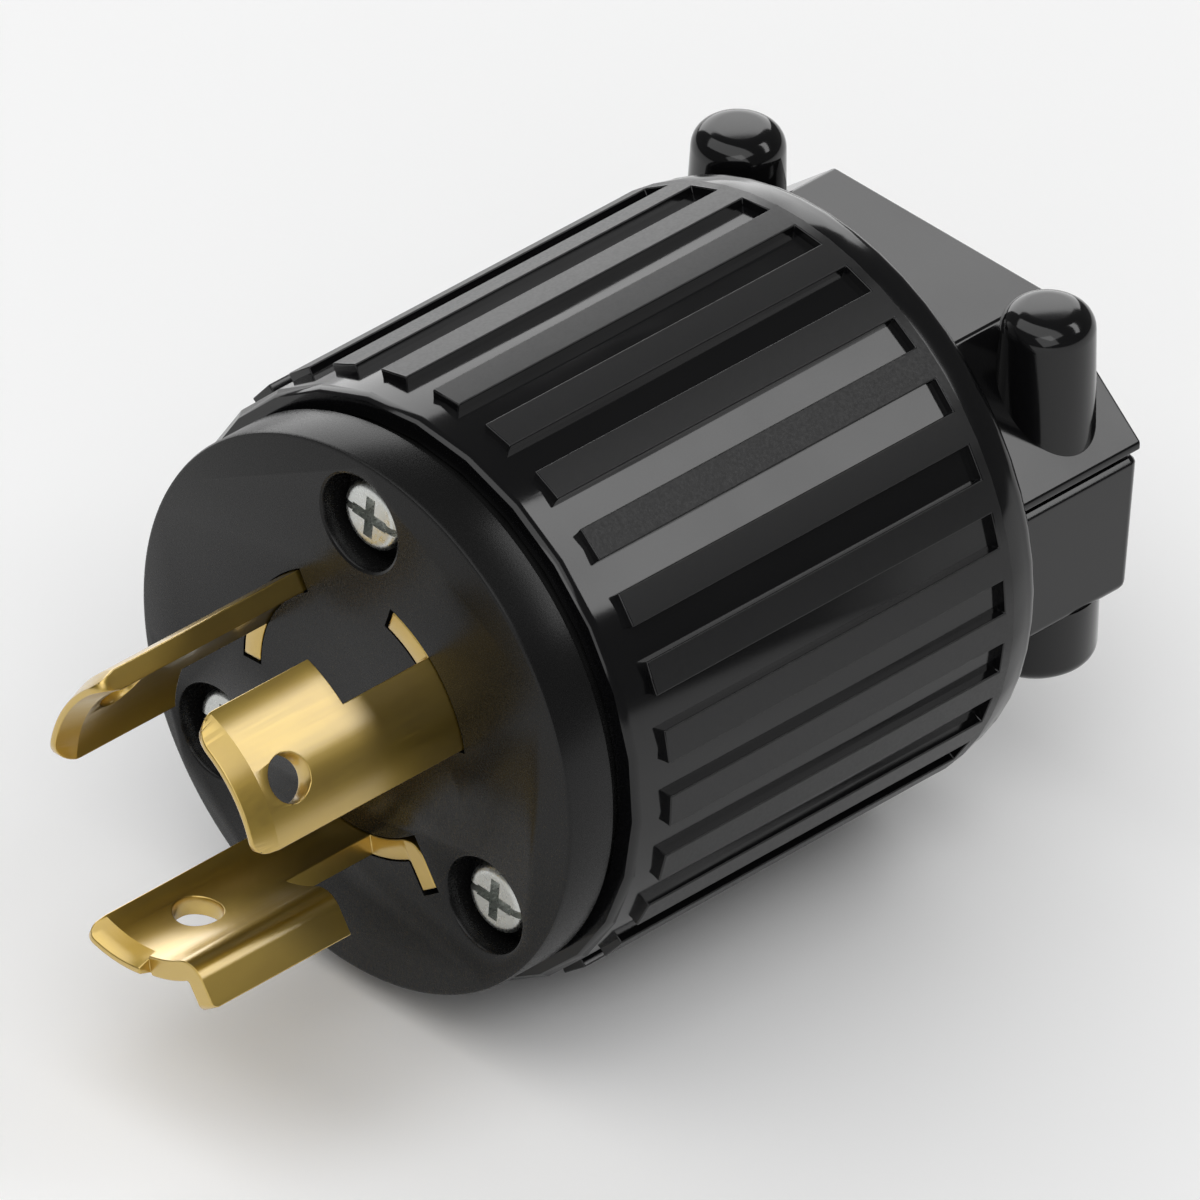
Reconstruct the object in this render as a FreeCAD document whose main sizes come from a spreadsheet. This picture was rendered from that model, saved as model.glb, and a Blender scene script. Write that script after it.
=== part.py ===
import FreeCAD, Part
import os
import Sketcher
from FreeCAD import Placement, Rotation, Vector

# Locking power plug, millimetres. The plug lies on its ribbed shell: +Y runs from the blades
# to the cord, +X to the right seen from the blades, +Z up. The origin is the centre of the face.
# Angles are measured round the plug's axis from +X towards +Z.

os.makedirs("parts", exist_ok=True)
doc = FreeCAD.newDocument("LockingPlug")

SIZES = [
    # face and its carrier
    ("face_drop", "1.4", "how far the face disc lies inside the barrel's corners"),
    ("face_bevel", "0.35", "bevel round the face"),
    ("band_len", "4.6", "length of the satin band behind the face"),
    ("fit", "0.15", "clearance of the carrier in the shell"),
    ("carrier_end", "12", "back of the carrier"),
    ("slot_gap", "0.12", "clearance round a blade in its slot"),
    ("slot_more", "0.7", "clearance at a slot's ends, degrees"),
    # blades
    ("blade_out", "11.9", "outer radius of the blades"),
    ("blade_in", "10.2", "inner radius of the blades"),
    ("line_tip", "21.2", "length of a line blade in front of the face"),
    ("ground_tip", "24.4", "length of the ground blade in front of the face"),
    ("notch_y", "8.9", "where the locking notch starts, in front of the face"),
    ("neck_arc", "37.2", "arc of a line blade beside its notch"),
    ("notch_arc", "21.3", "arc of the locking notch"),
    ("ground_neck_arc", "32", "arc of the ground blade beside its notch"),
    ("ground_notch_arc", "24.5", "arc of the ground blade's notch"),
    ("turn_x", "50.7", "angle of the notch edge, right blade"),
    ("turn_y", "160.5", "angle of the notch edge, left blade"),
    ("turn_ground", "-78.5", "angle of the notch edge, ground blade"),
    ("leg_out", "14.45", "how far out the ground blade's leg reaches"),
    ("leg_round", "0.8", "outer rounding where the leg bends off"),
    ("leg_back", "1.1", "how far the leg's tip stands back from the blade's"),
    ("round_small", "1.2", "rounding of a blade's outer tip corner"),
    ("round_large", "2.4", "rounding of a blade's tip corner over the notch"),
    ("tip_bevel", "0.6", "how deep the outer bevel at a blade's tip goes"),
    ("tip_bevel_len", "1.9", "length of that bevel along the blade"),
    ("tip_bevel_in", "0.6", "how deep the inner bevel at a blade's tip goes"),
    ("tip_bevel_in_len", "2", "length of that bevel along the blade"),
    ("hole_r", "1.95", "radius of the hole in a blade"),
    ("hole_y", "16.4", "hole's distance in front of the face"),
    ("hole_back", "14.4", "hole's angle from the notch edge, line blade"),
    ("ground_hole_back", "10", "hole's angle from the notch edge, ground blade"),
    ("ear_y", "10.5", "front of the ears that hold a blade in the carrier"),
    ("ear_arc", "4", "how far an ear stands out, degrees"),
    ("blade_end", "24.6", "back end of a blade, inside"),
    # terminal block and what is in it
    ("block_fit", "0.25", "clearance of the terminal block in the shell"),
    ("block_end", "27", "back of the terminal block"),
    ("pocket_floor", "2", "wall in front of a terminal pocket"),
    ("pocket_len", "11.2", "length of a terminal pocket"),
    ("pocket_w", "14.5", "width of a terminal pocket"),
    ("pocket_in", "7.9", "inner wall of a terminal pocket"),
    ("term_x", "42.75", "angle of the right terminal"),
    ("term_y", "152.55", "angle of the left terminal"),
    ("term_ground", "-82.2", "angle of the ground terminal"),
    ("term_pos", "19.4", "terminal screws' place along the plug"),
    ("plate_w", "9", "side of a wire plate"),
    ("plate_in", "13.6", "wire plate's inner face"),
    ("plate_out", "15", "wire plate's outer face"),
    ("term_r", "1.9", "terminal screw's thread radius"),
    ("term_head_r", "3.6", "terminal screw's head radius"),
    ("term_head_len", "2.2", "terminal screw's head height"),
    ("divider_len", "1.6", "thickness of the wire divider"),
    ("wire_way", "5.4", "side of a wire's square way"),
    ("wire_way_at", "12", "wire ways' distance from the axis"),
    # assembly screws
    ("screw_edge", "5.6", "assembly screws' distance from the face's edge"),
    ("screw_a", "90.6", "angle of the upper screw"),
    ("screw_b", "212", "angle of the left screw"),
    ("screw_c", "-35.5", "angle of the right screw"),
    ("sink_r", "3.95", "radius of a counterbore"),
    ("sink_len", "3", "depth of a counterbore"),
    ("screw_way_r", "1.7", "clearance hole of an assembly screw"),
    ("screw_r", "1.5", "assembly screw's thread radius"),
    ("screw_head_r", "2.9", "assembly screw's head radius"),
    ("screw_head_y", "1.1", "top of the head, below the face"),
    ("screw_end", "35", "tip of an assembly screw"),
    ("insert_r", "2.5", "corner radius of a six-sided shell insert"),
    ("insert_sides", "6", "number of sides of an insert"),
    ("insert_len", "8", "length of a shell insert"),
    ("post_r", "3.9", "radius of a post in the shell"),
    ("post_end", "39", "back of the posts"),
    # shell
    ("lip_gap", "1", "gap between the face's band and the shell"),
    ("lip_wall", "2.05", "wall of the shell's mouth"),
    ("seat_deep", "1.4", "how deep in the mouth the carrier stops"),
    ("wall", "3.75", "wall of the barrel under the grooves"),
    ("rib_rise", "0.62", "how far the ribs' corners stand out of the barrel's"),
    ("rib_r", "25.12", "corner radius over the ribs"),
    ("front_band", "3.07", "length of the plain band in front of the ribs"),
    ("rear_band", "4.35", "length of the plain band behind the grooves"),
    ("rib_count", "28", "number of ribs"),
    ("shell_end", "48.8", "back of the shell"),
    ("rear_wall", "3.3", "thickness of the shell's back wall"),
    ("lip_bevel", "0.5", "bevel at the shell's mouth"),
    ("rim_bevel", "1.4", "bevel at the shell's back"),
    # cord clamp
    ("clamp_len", "13.5", "length of the cord clamp behind the shell"),
    ("clamp_inset", "3.37", "how far the cord clamp's sides lie inside the ribs"),
    ("cord_z", "6.25", "height of the cord's axis over the plug's axis"),
    ("cord_r", "6.6", "radius at the gripping ridges"),
    ("channel_r", "7.2", "radius between the ridges"),
    ("ridge_lead", "0.9", "length of the first ridge"),
    ("ridge_space", "3.3", "length of a space between ridges"),
    ("ridge_step", "4.2", "from one space to the next"),
    ("ridge_spaces", "3", "number of spaces between ridges"),
    ("saddle_top", "5.95", "top of the lower half"),
    ("saddle_high", "12.4", "height of the lower half"),
    ("saddle_bevel", "0.7", "bevel round the foot of the lower half"),
    ("saddle_draft", "1.6", "draft of the lower half, degrees"),
    ("boss_edge", "5.13", "clamp screws' distance from the clamp's side"),
    ("boss_back", "8", "clamp screws' distance behind the shell"),
    ("low_boss_r", "4.9", "radius of a lower boss"),
    ("low_boss_len", "5.55", "how far a lower boss stands out"),
    ("low_boss_bevel", "0.8", "bevel at the foot of a lower boss"),
    ("head_sink_r", "3.95", "radius of the recess for a screw head"),
    ("clamp_way_r", "2.15", "clearance hole of a clamp screw"),
    ("jaw_gap", "0.2", "gap between the shell and the upper half"),
    ("jaw_split", "0.55", "gap between the halves"),
    ("jaw_lip", "0.7", "height of the upright edge under the sloping shoulders"),
    ("jaw_high", "9.34", "height of the upper half"),
    ("jaw_top_w", "11.5", "half width of the top"),
    ("tall_r", "3.7", "radius of a tall boss"),
    ("tall_rise", "3.76", "how far a tall boss stands over the top"),
    ("tall_bevel", "1", "bevel at the top of a tall boss"),
    ("clamp_insert_r", "3", "corner radius of a six-sided clamp insert"),
    ("clamp_insert_at", "1", "how far a clamp insert lies over the underside"),
    ("clamp_insert_len", "7.5", "length of a clamp insert"),
    ("clamp_screw_r", "1.9", "clamp screw's thread radius"),
    ("clamp_head_r", "3.4", "clamp screw's head radius"),
    ("clamp_head_len", "2.4", "height of a clamp screw's head"),
    ("washer_len", "0.7", "thickness of a washer"),
    ("head_sink_len", "3.8", "depth of the recess for a screw head"),
    ("clamp_tip_in", "0.4", "how far a clamp screw's tip stops inside its insert"),
    ("seal_len", "2.1", "thickness of the dust seal"),
    ("seal_r", "10.5", "outer radius of the dust seal"),
    ("seal_hole_r", "6.2", "hole in the dust seal"),
    # worked out from the sizes above
    ("groove_r", "=rib_r-rib_rise", "corner radius of the barrel between the ribs"),
    ("face_r", "=groove_r-face_drop", "radius of the face disc"),
    ("lip_r", "=groove_r-lip_wall", "radius of the shell's mouth"),
    ("bore_r", "=groove_r-wall", "inner radius of the shell at its flats"),
    ("lip_corner", "=lip_r/cos(180deg/rib_count)", "corner radius of the shell's mouth"),
    ("bore_corner", "=bore_r/cos(180deg/rib_count)", "corner radius inside the shell"),
    ("neck_r", "=lip_r-fit", "radius where the carrier sits in the shell's mouth"),
    ("spigot_r", "=bore_corner-fit", "corner radius of the carrier inside the shell"),
    ("block_r", "=bore_corner-block_fit", "corner radius of the terminal block"),
    ("lip_y", "=band_len+lip_gap", "front edge of the shell"),
    ("seat_y", "=lip_y+seat_deep", "where the carrier stops against the shell"),
    ("rib_front", "=lip_y+front_band", "front end of the ribs"),
    ("rib_back", "=shell_end-rear_band", "back end of the grooves"),
    ("rear_wall_y", "=shell_end-rear_wall", "inside of the shell's back wall"),
    ("seal_y", "=rear_wall_y-seal_len", "front of the dust seal"),
    ("pocket_y", "=carrier_end+pocket_floor", "front of a terminal pocket"),
    ("divider_end", "=block_end+divider_len", "back of the wire divider"),
    ("wire_half", "=wire_way/2", "half the side of a wire's way"),
    ("wire_way_in", "=wire_way_at-wire_half", "inner side of a wire's way"),
    ("wire_way_out", "=wire_way_at+wire_half", "outer side of a wire's way"),
    ("screw_at", "=face_r-screw_edge", "assembly screws' distance from the axis"),
    ("clamp_end", "=shell_end+clamp_len", "back of the cord clamp"),
    ("clamp_w", "=rib_r-clamp_inset", "half width of the cord clamp"),
    ("boss_x", "=clamp_w-boss_edge", "clamp screws' distance from the middle"),
    ("boss_y", "=shell_end+boss_back", "clamp screws' place along the plug"),
    ("saddle_low", "=saddle_top-saddle_high", "bottom of the lower half"),
    ("low_boss_z", "=saddle_low-low_boss_len", "bottom of a lower boss"),
    ("washer_top", "=low_boss_z+head_sink_len", "top of a washer"),
    ("washer_low", "=washer_top-washer_len", "underside of a washer"),
    ("clamp_head_low", "=washer_low-clamp_head_len", "underside of a clamp screw's head"),
    ("jaw_y", "=shell_end+jaw_gap", "front of the upper half"),
    ("jaw_low", "=saddle_top+jaw_split", "underside of the upper half"),
    ("jaw_edge", "=jaw_low+jaw_lip", "lower edge of the sloping shoulders"),
    ("jaw_top", "=jaw_low+jaw_high", "top of the upper half"),
    ("tall_z", "=jaw_top+tall_rise", "top of a tall boss"),
    ("ridge_first", "=jaw_y+ridge_lead", "first space between ridges"),
    ("clamp_insert_low", "=jaw_low+clamp_insert_at", "underside of a clamp insert"),
    ("clamp_insert_top", "=clamp_insert_low+clamp_insert_len", "top of a clamp insert"),
    ("clamp_tip", "=clamp_insert_top-clamp_tip_in", "tip of a clamp screw"),
    ("half_pitch", "=180/rib_count", "half the angle between ribs"),
    ("quarter_pitch", "=90/rib_count", "a quarter of that angle"),
    ("rib_corners", "=2*rib_count", "corners of the outline over the ribs"),
    ("rib_gap", "=2*rib_r*sin(90deg/rib_count)", "width of a groove"),
    ("groove_floor", "=groove_r*cos(180deg/rib_count)", "groove floor's distance from the axis"),
    ("past_rib", "=rib_r+2", "beyond the ribs"),
    ("outer_foot", "=blade_out-1.5*tip_bevel", "inner end of the outer bevel's cut"),
    ("outer_past", "=blade_out+0.5*tip_bevel", "outer end of the outer bevel's cut"),
    ("inner_foot", "=blade_in+1.5*tip_bevel_in", "outer end of the inner bevel's cut"),
    ("inner_past", "=blade_in-0.5*tip_bevel_in", "inner end of the inner bevel's cut"),
    ("line_outer_front", "=0-line_tip-0.5*tip_bevel_len", "front of the outer bevel's cut, line blade"),
    ("line_outer_back", "=1.5*tip_bevel_len-line_tip", "back of that cut, line blade"),
    ("line_inner_front", "=0-line_tip-0.5*tip_bevel_in_len", "front of the inner bevel's cut, line blade"),
    ("line_inner_back", "=1.5*tip_bevel_in_len-line_tip", "back of that cut, line blade"),
    ("ground_outer_front", "=0-ground_tip-0.5*tip_bevel_len", "front of that cut, ground blade"),
    ("ground_outer_back", "=1.5*tip_bevel_len-ground_tip", "back of that cut, ground blade"),
    ("ground_inner_front", "=0-ground_tip-0.5*tip_bevel_in_len", "front of the inner bevel's cut, ground blade"),
    ("ground_inner_back", "=1.5*tip_bevel_in_len-ground_tip", "back of that cut, ground blade"),
    ("slot_in", "=blade_in-slot_gap", "inner wall of a slot"),
    ("slot_out", "=blade_out+slot_gap", "outer wall of a slot"),
    ("blade_mid", "=(blade_in+blade_out)/2", "middle radius of the blades"),
    ("leg_thick", "=blade_out-blade_in", "thickness of the brass"),
    ("leg_slot", "=leg_thick+2*slot_gap", "width of the leg's slot"),
    ("leg_tip", "=ground_tip-leg_back", "length of the leg in front of the face"),
    ("leg_slot_out", "=leg_out+slot_gap", "outer end of the leg's slot"),
    ("rim_in", "=face_r-face_bevel", "inner edge of the face's bevel"),
    ("pocket_half", "=pocket_w/2", "half width of a terminal pocket"),
    ("leg_half", "=leg_thick/2", "half the thickness of the brass"),
    ("leg_slot_half", "=leg_slot/2", "half width of the leg's slot"),
    ("rib_gap_half", "=rib_gap/2", "half width of a groove"),
    ("block_past", "=block_r+1.5", "beyond the terminal block"),
    ("ear_room", "=ear_arc+slot_more", "room for an ear, degrees"),
    ("saddle_root", "=shell_end-rim_bevel", "where the lower half starts, in the shell's wall"),
    ("clamp_past", "=clamp_end+1", "beyond the clamp's back"),
    ("plate_fit", "0.1", "clearance of a terminal screw in its plate"),
    ("plate_way_r", "=term_r+plate_fit", "hole in a wire plate"),
    ("term_tip", "8.6", "inner end of a terminal screw"),
    ("term_head_out", "=plate_out+term_head_len", "outside of a terminal screw's head"),
    ("term_slot_in", "=term_head_out-1", "bottom of a terminal screw's slot"),
    ("term_slot_out", "=term_head_out+1", "beyond a terminal screw's slot"),
    ("term_slot_len", "=2*term_head_r+1", "length of a terminal screw's slot"),
    ("insert_end", "=divider_end+insert_len", "back of the shell inserts"),
    ("drive_w", "0.85", "width of a screw's drive recess"),
    ("drive_len", "3.6", "length of a screw's drive recess"),
    ("drive_deep", "2", "how far the drive's bars reach, partly outside the head"),
    ("drive_out", "0.9", "how far the drive's bars start outside the head"),
    ("drive_y", "=screw_head_y-drive_out", "front of the drive's bars in a face screw"),
    ("clamp_drive_z", "=clamp_head_low-drive_out", "underside of the drive's bars in a clamp screw"),
    ("washer_rim", "0.2", "how far a washer stands out round its screw's head"),
    ("washer_r", "=clamp_head_r+washer_rim", "radius of a washer"),
]

sheet = doc.addObject("Spreadsheet::Sheet", "Sizes")
for row, (alias, value, note) in enumerate(SIZES, start=1):
    sheet.set("A%d" % row, alias)
    sheet.set("B%d" % row, value)
    sheet.set("C%d" % row, note)
    sheet.setAlias("B%d" % row, alias)
doc.recompute()


def size(name):
    """Value of a size; a leading minus turns its sign."""
    value = sheet.get(name.lstrip("-"))
    value = float(getattr(value, "Value", value))
    return -value if name.startswith("-") else value


def formula(name):
    """Expression that follows a size of the sheet."""
    return "-Sizes." + name[1:] if name.startswith("-") else "Sizes." + name


def polar(at, angle):
    """Place across the plug at a distance and angle, as two formulas for x and z."""
    return ("%s * cos(%s * 1 deg)" % (formula(at), formula(angle)),
            "%s * sin(%s * 1 deg)" % (formula(at), formula(angle)))


def bind(obj, **links):
    """Ties properties to sizes: Placement__Base__x='name' or a whole formula with 'Sizes.'."""
    for key, name in links.items():
        text = name if "Sizes." in name else formula(name)
        obj.setExpression(key.replace("__", "."), text)
    return obj


# Sketches and bodies

# how near counts as the same place, when edges are looked for
NEAR = 1e-4
TURN_AXIS = {"XY_Plane": Vector(0, 1, 0), "XZ_Plane": Vector(0, 0, 1), "YZ_Plane": Vector(1, 0, 0)}


def new_body(name):
    body = doc.addObject("PartDesign::Body", name)
    body.Label = name
    return body


def origin_part(body, role):
    return [item for item in body.Origin.OriginFeatures if item.Role == role][0]


def new_sketch(body, name, role, shift=None, turn=None):
    """A sketch on an origin plane, moved along its normal and turned about the plug's axis."""
    sketch = body.newObject("Sketcher::SketchObject", name)
    sketch.AttachmentSupport = [(origin_part(body, role), "")]
    sketch.MapMode = "FlatFace"
    if turn:
        sketch.AttachmentOffset = Placement(Vector(0, 0, 0), Rotation(TURN_AXIS[role], 10))
        bind(sketch, AttachmentOffset__Rotation__Angle=turn)
    if shift:
        bind(sketch, AttachmentOffset__Base__z=shift)
    return sketch


def place_point(sketch, geo, pos, x_name, y_name):
    for kind, name in (("DistanceX", x_name), ("DistanceY", y_name)):
        if name is None:
            axis = -2 if kind == "DistanceX" else -1
            sketch.addConstraint(Sketcher.Constraint("PointOnObject", geo, pos, axis))
            continue
        index = sketch.addConstraint(Sketcher.Constraint(kind, -1, 1, geo, pos, size(name)))
        sketch.setExpression("Constraints[%d]" % index, formula(name))


def add_circle(sketch, x_name, y_name, r_name):
    x = size(x_name) if x_name else 0
    y = size(y_name) if y_name else 0
    geo = sketch.addGeometry(Part.Circle(Vector(x, y, 0), Vector(0, 0, 1), size(r_name)))
    place_point(sketch, geo, 3, x_name, y_name)
    index = sketch.addConstraint(Sketcher.Constraint("Radius", geo, size(r_name)))
    sketch.setExpression("Constraints[%d]" % index, formula(r_name))
    return geo


def add_outline(sketch, corners):
    """A closed outline through corners given by the names of their sizes, None for zero."""
    points = [Vector(size(a) if a else 0, size(b) if b else 0, 0) for a, b in corners]
    count = len(points)
    first = None
    for i in range(count):
        geo = sketch.addGeometry(Part.LineSegment(points[i], points[(i + 1) % count]))
        first = geo if first is None else first
    for i in range(count):
        sketch.addConstraint(Sketcher.Constraint("Coincident", first + i, 2, first + (i + 1) % count, 1))
    for i, (a, b) in enumerate(corners):
        place_point(sketch, first + i, 1, a, b)


def feature(body, kind, name, profile=None, **links):
    item = body.newObject("PartDesign::" + kind, name)
    if profile is not None:
        item.Profile = profile
        profile.Visibility = False
    if links:
        bind(item, **links)
    return item


def turned(body, kind, name, profile, angle=None, back=False):
    """A revolution or groove about the plug's axis."""
    item = feature(body, kind, name, profile)
    item.ReferenceAxis = (origin_part(body, "Y_Axis"), [""])
    item.Angle = 360
    if angle:
        bind(item, Angle=angle)
    item.Reversed = back
    return item


def along_prism(body, kind, name, sides, corner, front, back, x=None, y=None):
    """A many-sided prism along the plug, its first corner towards +X, added or cut."""
    item = body.newObject("PartDesign::" + kind, name)
    item.AttachmentSupport = [(origin_part(body, "XZ_Plane"), "")]
    item.MapMode = "FlatFace"
    bind(item, Polygon=sides, Circumradius=corner, Height="Sizes.%s - Sizes.%s" % (back, front),
         AttachmentOffset__Base__z="-" + back)
    if x:
        bind(item, AttachmentOffset__Base__x=x, AttachmentOffset__Base__y=y)
    return item


def edges_where(shape, test):
    return ["Edge%d" % (i + 1) for i, edge in enumerate(shape.Edges) if test(edge)]


def bevelled(body, name, width, test):
    """Bevels the edges of the body's last shape that pass a test."""
    doc.recompute()
    base = body.Tip
    names = edges_where(base.Shape, test)
    bevel = body.newObject("PartDesign::Chamfer", name)
    bevel.Base = (base, names)
    bind(bevel, Size=width)
    return checked(body, bevel, False)


def at_level(axis, level):
    """Picks edges that lie wholly at one level of an axis."""
    def test(edge):
        return all(abs(getattr(vertex.Point, axis) - size(level)) < NEAR for vertex in edge.Vertexes)
    return test


def checked(body, item, more):
    """Recomputes and makes sure that the last feature added (more) or removed material."""
    doc.recompute()
    before = item.BaseFeature.Shape.Volume
    after = item.Shape.Volume
    if (after > before) != more or abs(after - before) < 1e-3:
        raise ValueError("%s changed the volume the wrong way: %.3f to %.3f" % (item.Name, before, after))
    return item


# Blades

LEG_TURN = "-(Sizes.turn_ground + Sizes.ground_notch_arc)"


def bend_line(edge):
    """Picks the edges along the plug where the ground blade's leg bends off."""
    angle = size("turn_ground") + size("ground_notch_arc")
    spot = Rotation(Vector(0, 1, 0), -angle).multVec(Vector(size("blade_in"), 0, size("leg_half")))
    ends = [vertex.Point for vertex in edge.Vertexes]
    if len(ends) != 2 or abs(ends[0].y - ends[1].y) < size("leg_thick"):
        return False
    return all((Vector(end.x, 0, end.z) - spot).Length < size("slot_gap") for end in ends)


def blade(name, turn, tip, neck_arc, notch_arc, hole_back, term):
    """A curved blade: a narrow neck beside the locking notch, wide at its tip and inside the plug."""
    body = new_body(name)
    profile = new_sketch(body, name + "_neck", "XY_Plane", turn="-" + turn)
    add_outline(profile, [("blade_in", "-" + tip), ("blade_out", "-" + tip),
                          ("blade_out", "blade_end"), ("blade_in", "blade_end")])
    turned(body, "Revolution", name + "_neck_side", profile, neck_arc)
    profile = new_sketch(body, name + "_wide", "XY_Plane", turn="-" + turn)
    wide_tip = "-leg_tip" if tip == "ground_tip" else "-" + tip
    add_outline(profile, [("blade_in", wide_tip), ("blade_out", wide_tip),
                          ("blade_out", "-notch_y"), ("blade_in", "-notch_y")])
    add_outline(profile, [("blade_in", None), ("blade_out", None),
                          ("blade_out", "blade_end"), ("blade_in", "blade_end")])
    checked(body, turned(body, "Revolution", name + "_notch_side", profile, notch_arc, True), True)
    for side, arc, back in (("a", neck_arc, False), ("b", notch_arc, True)):
        profile = new_sketch(body, name + "_ear_" + side, "XY_Plane", turn="-" + turn)
        add_outline(profile, [("blade_in", "ear_y"), ("blade_out", "ear_y"),
                              ("blade_out", "carrier_end"), ("blade_in", "carrier_end")])
        ear = turned(body, "Revolution", name + "_ear_turn_" + side, profile,
                     "Sizes.%s + Sizes.ear_arc" % arc, back)
        checked(body, ear, True)
    lock_angle = "-(Sizes.%s - Sizes.%s)" % (turn, hole_back)
    for label, angle, along, radius in (("lock_hole", lock_angle, "-hole_y", "hole_r"),
                                        ("terminal_hole", "-" + term, "term_pos", "term_r")):
        circle = new_sketch(body, name + "_" + label, "YZ_Plane", turn=angle)
        add_circle(circle, along, None, radius)
        hole = feature(body, "Pocket", name + "_" + label + "_cut", circle)
        hole.Type = "ThroughAll"
        hole.Reversed = True
        checked(body, hole, False)
    low = -size(tip)

    def corner(at_angle):
        spot = Rotation(Vector(0, 1, 0), -at_angle).multVec(Vector(size("blade_mid"), low, 0))

        def test(edge):
            straight = len(edge.Vertexes) == 2 and edge.Length < size("leg_thick") + 2 * size("slot_gap")
            return straight and (edge.CenterOfMass - spot).Length < 2 * size("slot_gap")
        return test

    ends = [("neck", size(turn) - size(neck_arc), "round_small")]
    if name != "ground_blade":
        ends.append(("notch", size(turn) + size(notch_arc), "round_large"))
    for label, at_angle, radius in ends:
        base = body.Tip
        names = edges_where(base.Shape, corner(at_angle))
        if len(names) != 1:
            raise ValueError("%s: %d edges at the %s corner" % (name, len(names), label))
        rounding = body.newObject("PartDesign::Fillet", "%s_%s_round" % (name, label))
        rounding.Base = (base, names)
        bind(rounding, Radius=radius)
        checked(body, rounding, False)
    # the ground blade's end is square beside its leg
    bevel_arc = neck_arc if tip == "ground_tip" else None
    for label in ("outer", "inner"):
        profile = new_sketch(body, "%s_%s_bevel_outline" % (name, label), "XY_Plane", turn="-" + turn)
        front, back = [tip.replace("tip", "%s_%s" % (label, end)) for end in ("front", "back")]
        add_outline(profile, [(label + "_foot", front), (label + "_past", front), (label + "_past", back)])
        checked(body, turned(body, "Groove", "%s_%s_bevel" % (name, label), profile, bevel_arc), False)
    return body


def add_leg(body):
    """The ground blade's flat leg, bent outwards at the end of its curve."""
    profile = new_sketch(body, "leg_outline", "XY_Plane", turn=LEG_TURN)
    add_outline(profile, [("blade_in", "-leg_tip"), ("leg_out", "-leg_tip"),
                          ("leg_out", "-notch_y"), ("blade_in", "-notch_y")])
    add_outline(profile, [("blade_in", None), ("leg_out", None),
                          ("leg_out", "carrier_end"), ("blade_in", "carrier_end")])
    leg = feature(body, "Pad", "leg", profile, Length="leg_thick")
    leg.SideType = "Symmetric"
    checked(body, leg, True)
    names = edges_where(leg.Shape, bend_line)
    if len(names) < 2:
        raise ValueError("leg bend: %d edges" % len(names))
    bend = body.newObject("PartDesign::Fillet", "leg_bend")
    bend.Base = (leg, names)
    bind(bend, Radius="leg_round")
    checked(body, bend, False)


blade("line_blade_x", "turn_x", "line_tip", "neck_arc", "notch_arc", "hole_back", "term_x")
blade("line_blade_y", "turn_y", "line_tip", "neck_arc", "notch_arc", "hole_back", "term_y")
add_leg(blade("ground_blade", "turn_ground", "ground_tip", "ground_neck_arc", "ground_notch_arc",
              "ground_hole_back", "term_ground"))

BLADES = (("x", "turn_x", "neck_arc", "notch_arc", "term_x"),
          ("y", "turn_y", "neck_arc", "notch_arc", "term_y"),
          ("ground", "turn_ground", "ground_neck_arc", "ground_notch_arc", "term_ground"))
SCREWS = ("screw_a", "screw_b", "screw_c")


def blade_slots(body, front, back, extra, tag):
    """Curved slots for the three blades, from front to back along the plug."""
    for label, turn, neck_arc, notch_arc, term in BLADES:
        for side, arc, reverse in (("a", neck_arc, False), ("b", notch_arc, True)):
            name = "%s_%s_%s" % (tag, label, side)
            profile = new_sketch(body, name + "_outline", "XY_Plane", turn="-" + turn)
            add_outline(profile, [("slot_in", front), ("slot_out", front),
                                  ("slot_out", back), ("slot_in", back)])
            angle = "Sizes.%s + Sizes.%s" % (arc, extra)
            checked(body, turned(body, "Groove", name, profile, angle, reverse), False)


def round_holes(body, name, radius, front=None, depth=None):
    """Round holes along the plug for the three assembly screws, to a depth or right through."""
    for angle in SCREWS:
        circle = new_sketch(body, "%s_%s_circle" % (name, angle), "XZ_Plane",
                            shift="-" + front if front else None, turn=angle)
        add_circle(circle, "screw_at", None, radius)
        hole = feature(body, "Pocket", "%s_%s" % (name, angle), circle)
        if depth:
            bind(hole, Length=depth)
        else:
            hole.Type = "ThroughAll"
        checked(body, hole, False)


def wire_ways(body, name, front):
    """Square ways for the wires, one behind each terminal."""
    for label, turn, neck_arc, notch_arc, term in BLADES:
        outline = new_sketch(body, "%s_%s_outline" % (name, label), "XZ_Plane", shift="-" + front, turn=term)
        add_outline(outline, [("wire_way_in", "-wire_half"), ("wire_way_out", "-wire_half"),
                              ("wire_way_out", "wire_half"), ("wire_way_in", "wire_half")])
        way = feature(body, "Pocket", "%s_%s" % (name, label), outline)
        way.Type = "ThroughAll"
        checked(body, way, False)


# Carrier with the face
carrier = new_body("front_body")
outline = new_sketch(carrier, "carrier_outline", "XY_Plane")
add_outline(outline, [(None, None), ("rim_in", None), ("face_r", "face_bevel"), ("face_r", "band_len"),
                      ("neck_r", "band_len"), ("neck_r", "seat_y"), (None, "seat_y")])
turned(carrier, "Revolution", "carrier_turn", outline)
spigot = along_prism(carrier, "AdditivePrism", "spigot", "rib_count", "spigot_r", "seat_y", "carrier_end")
checked(carrier, spigot, True)
blade_slots(carrier, None, "carrier_end", "slot_more", "slot")
blade_slots(carrier, "ear_y", "carrier_end", "ear_room", "ear_slot")
leg_turn = "Sizes.turn_ground + Sizes.ground_notch_arc"
leg_slot = new_sketch(carrier, "leg_slot_outline", "XZ_Plane", turn=leg_turn)
add_outline(leg_slot, [("slot_in", "-leg_slot_half"), ("leg_slot_out", "-leg_slot_half"),
                       ("leg_slot_out", "leg_slot_half"), ("slot_in", "leg_slot_half")])
leg_cut = feature(carrier, "Pocket", "leg_slot", leg_slot)
leg_cut.Type = "ThroughAll"
checked(carrier, leg_cut, False)
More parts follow.
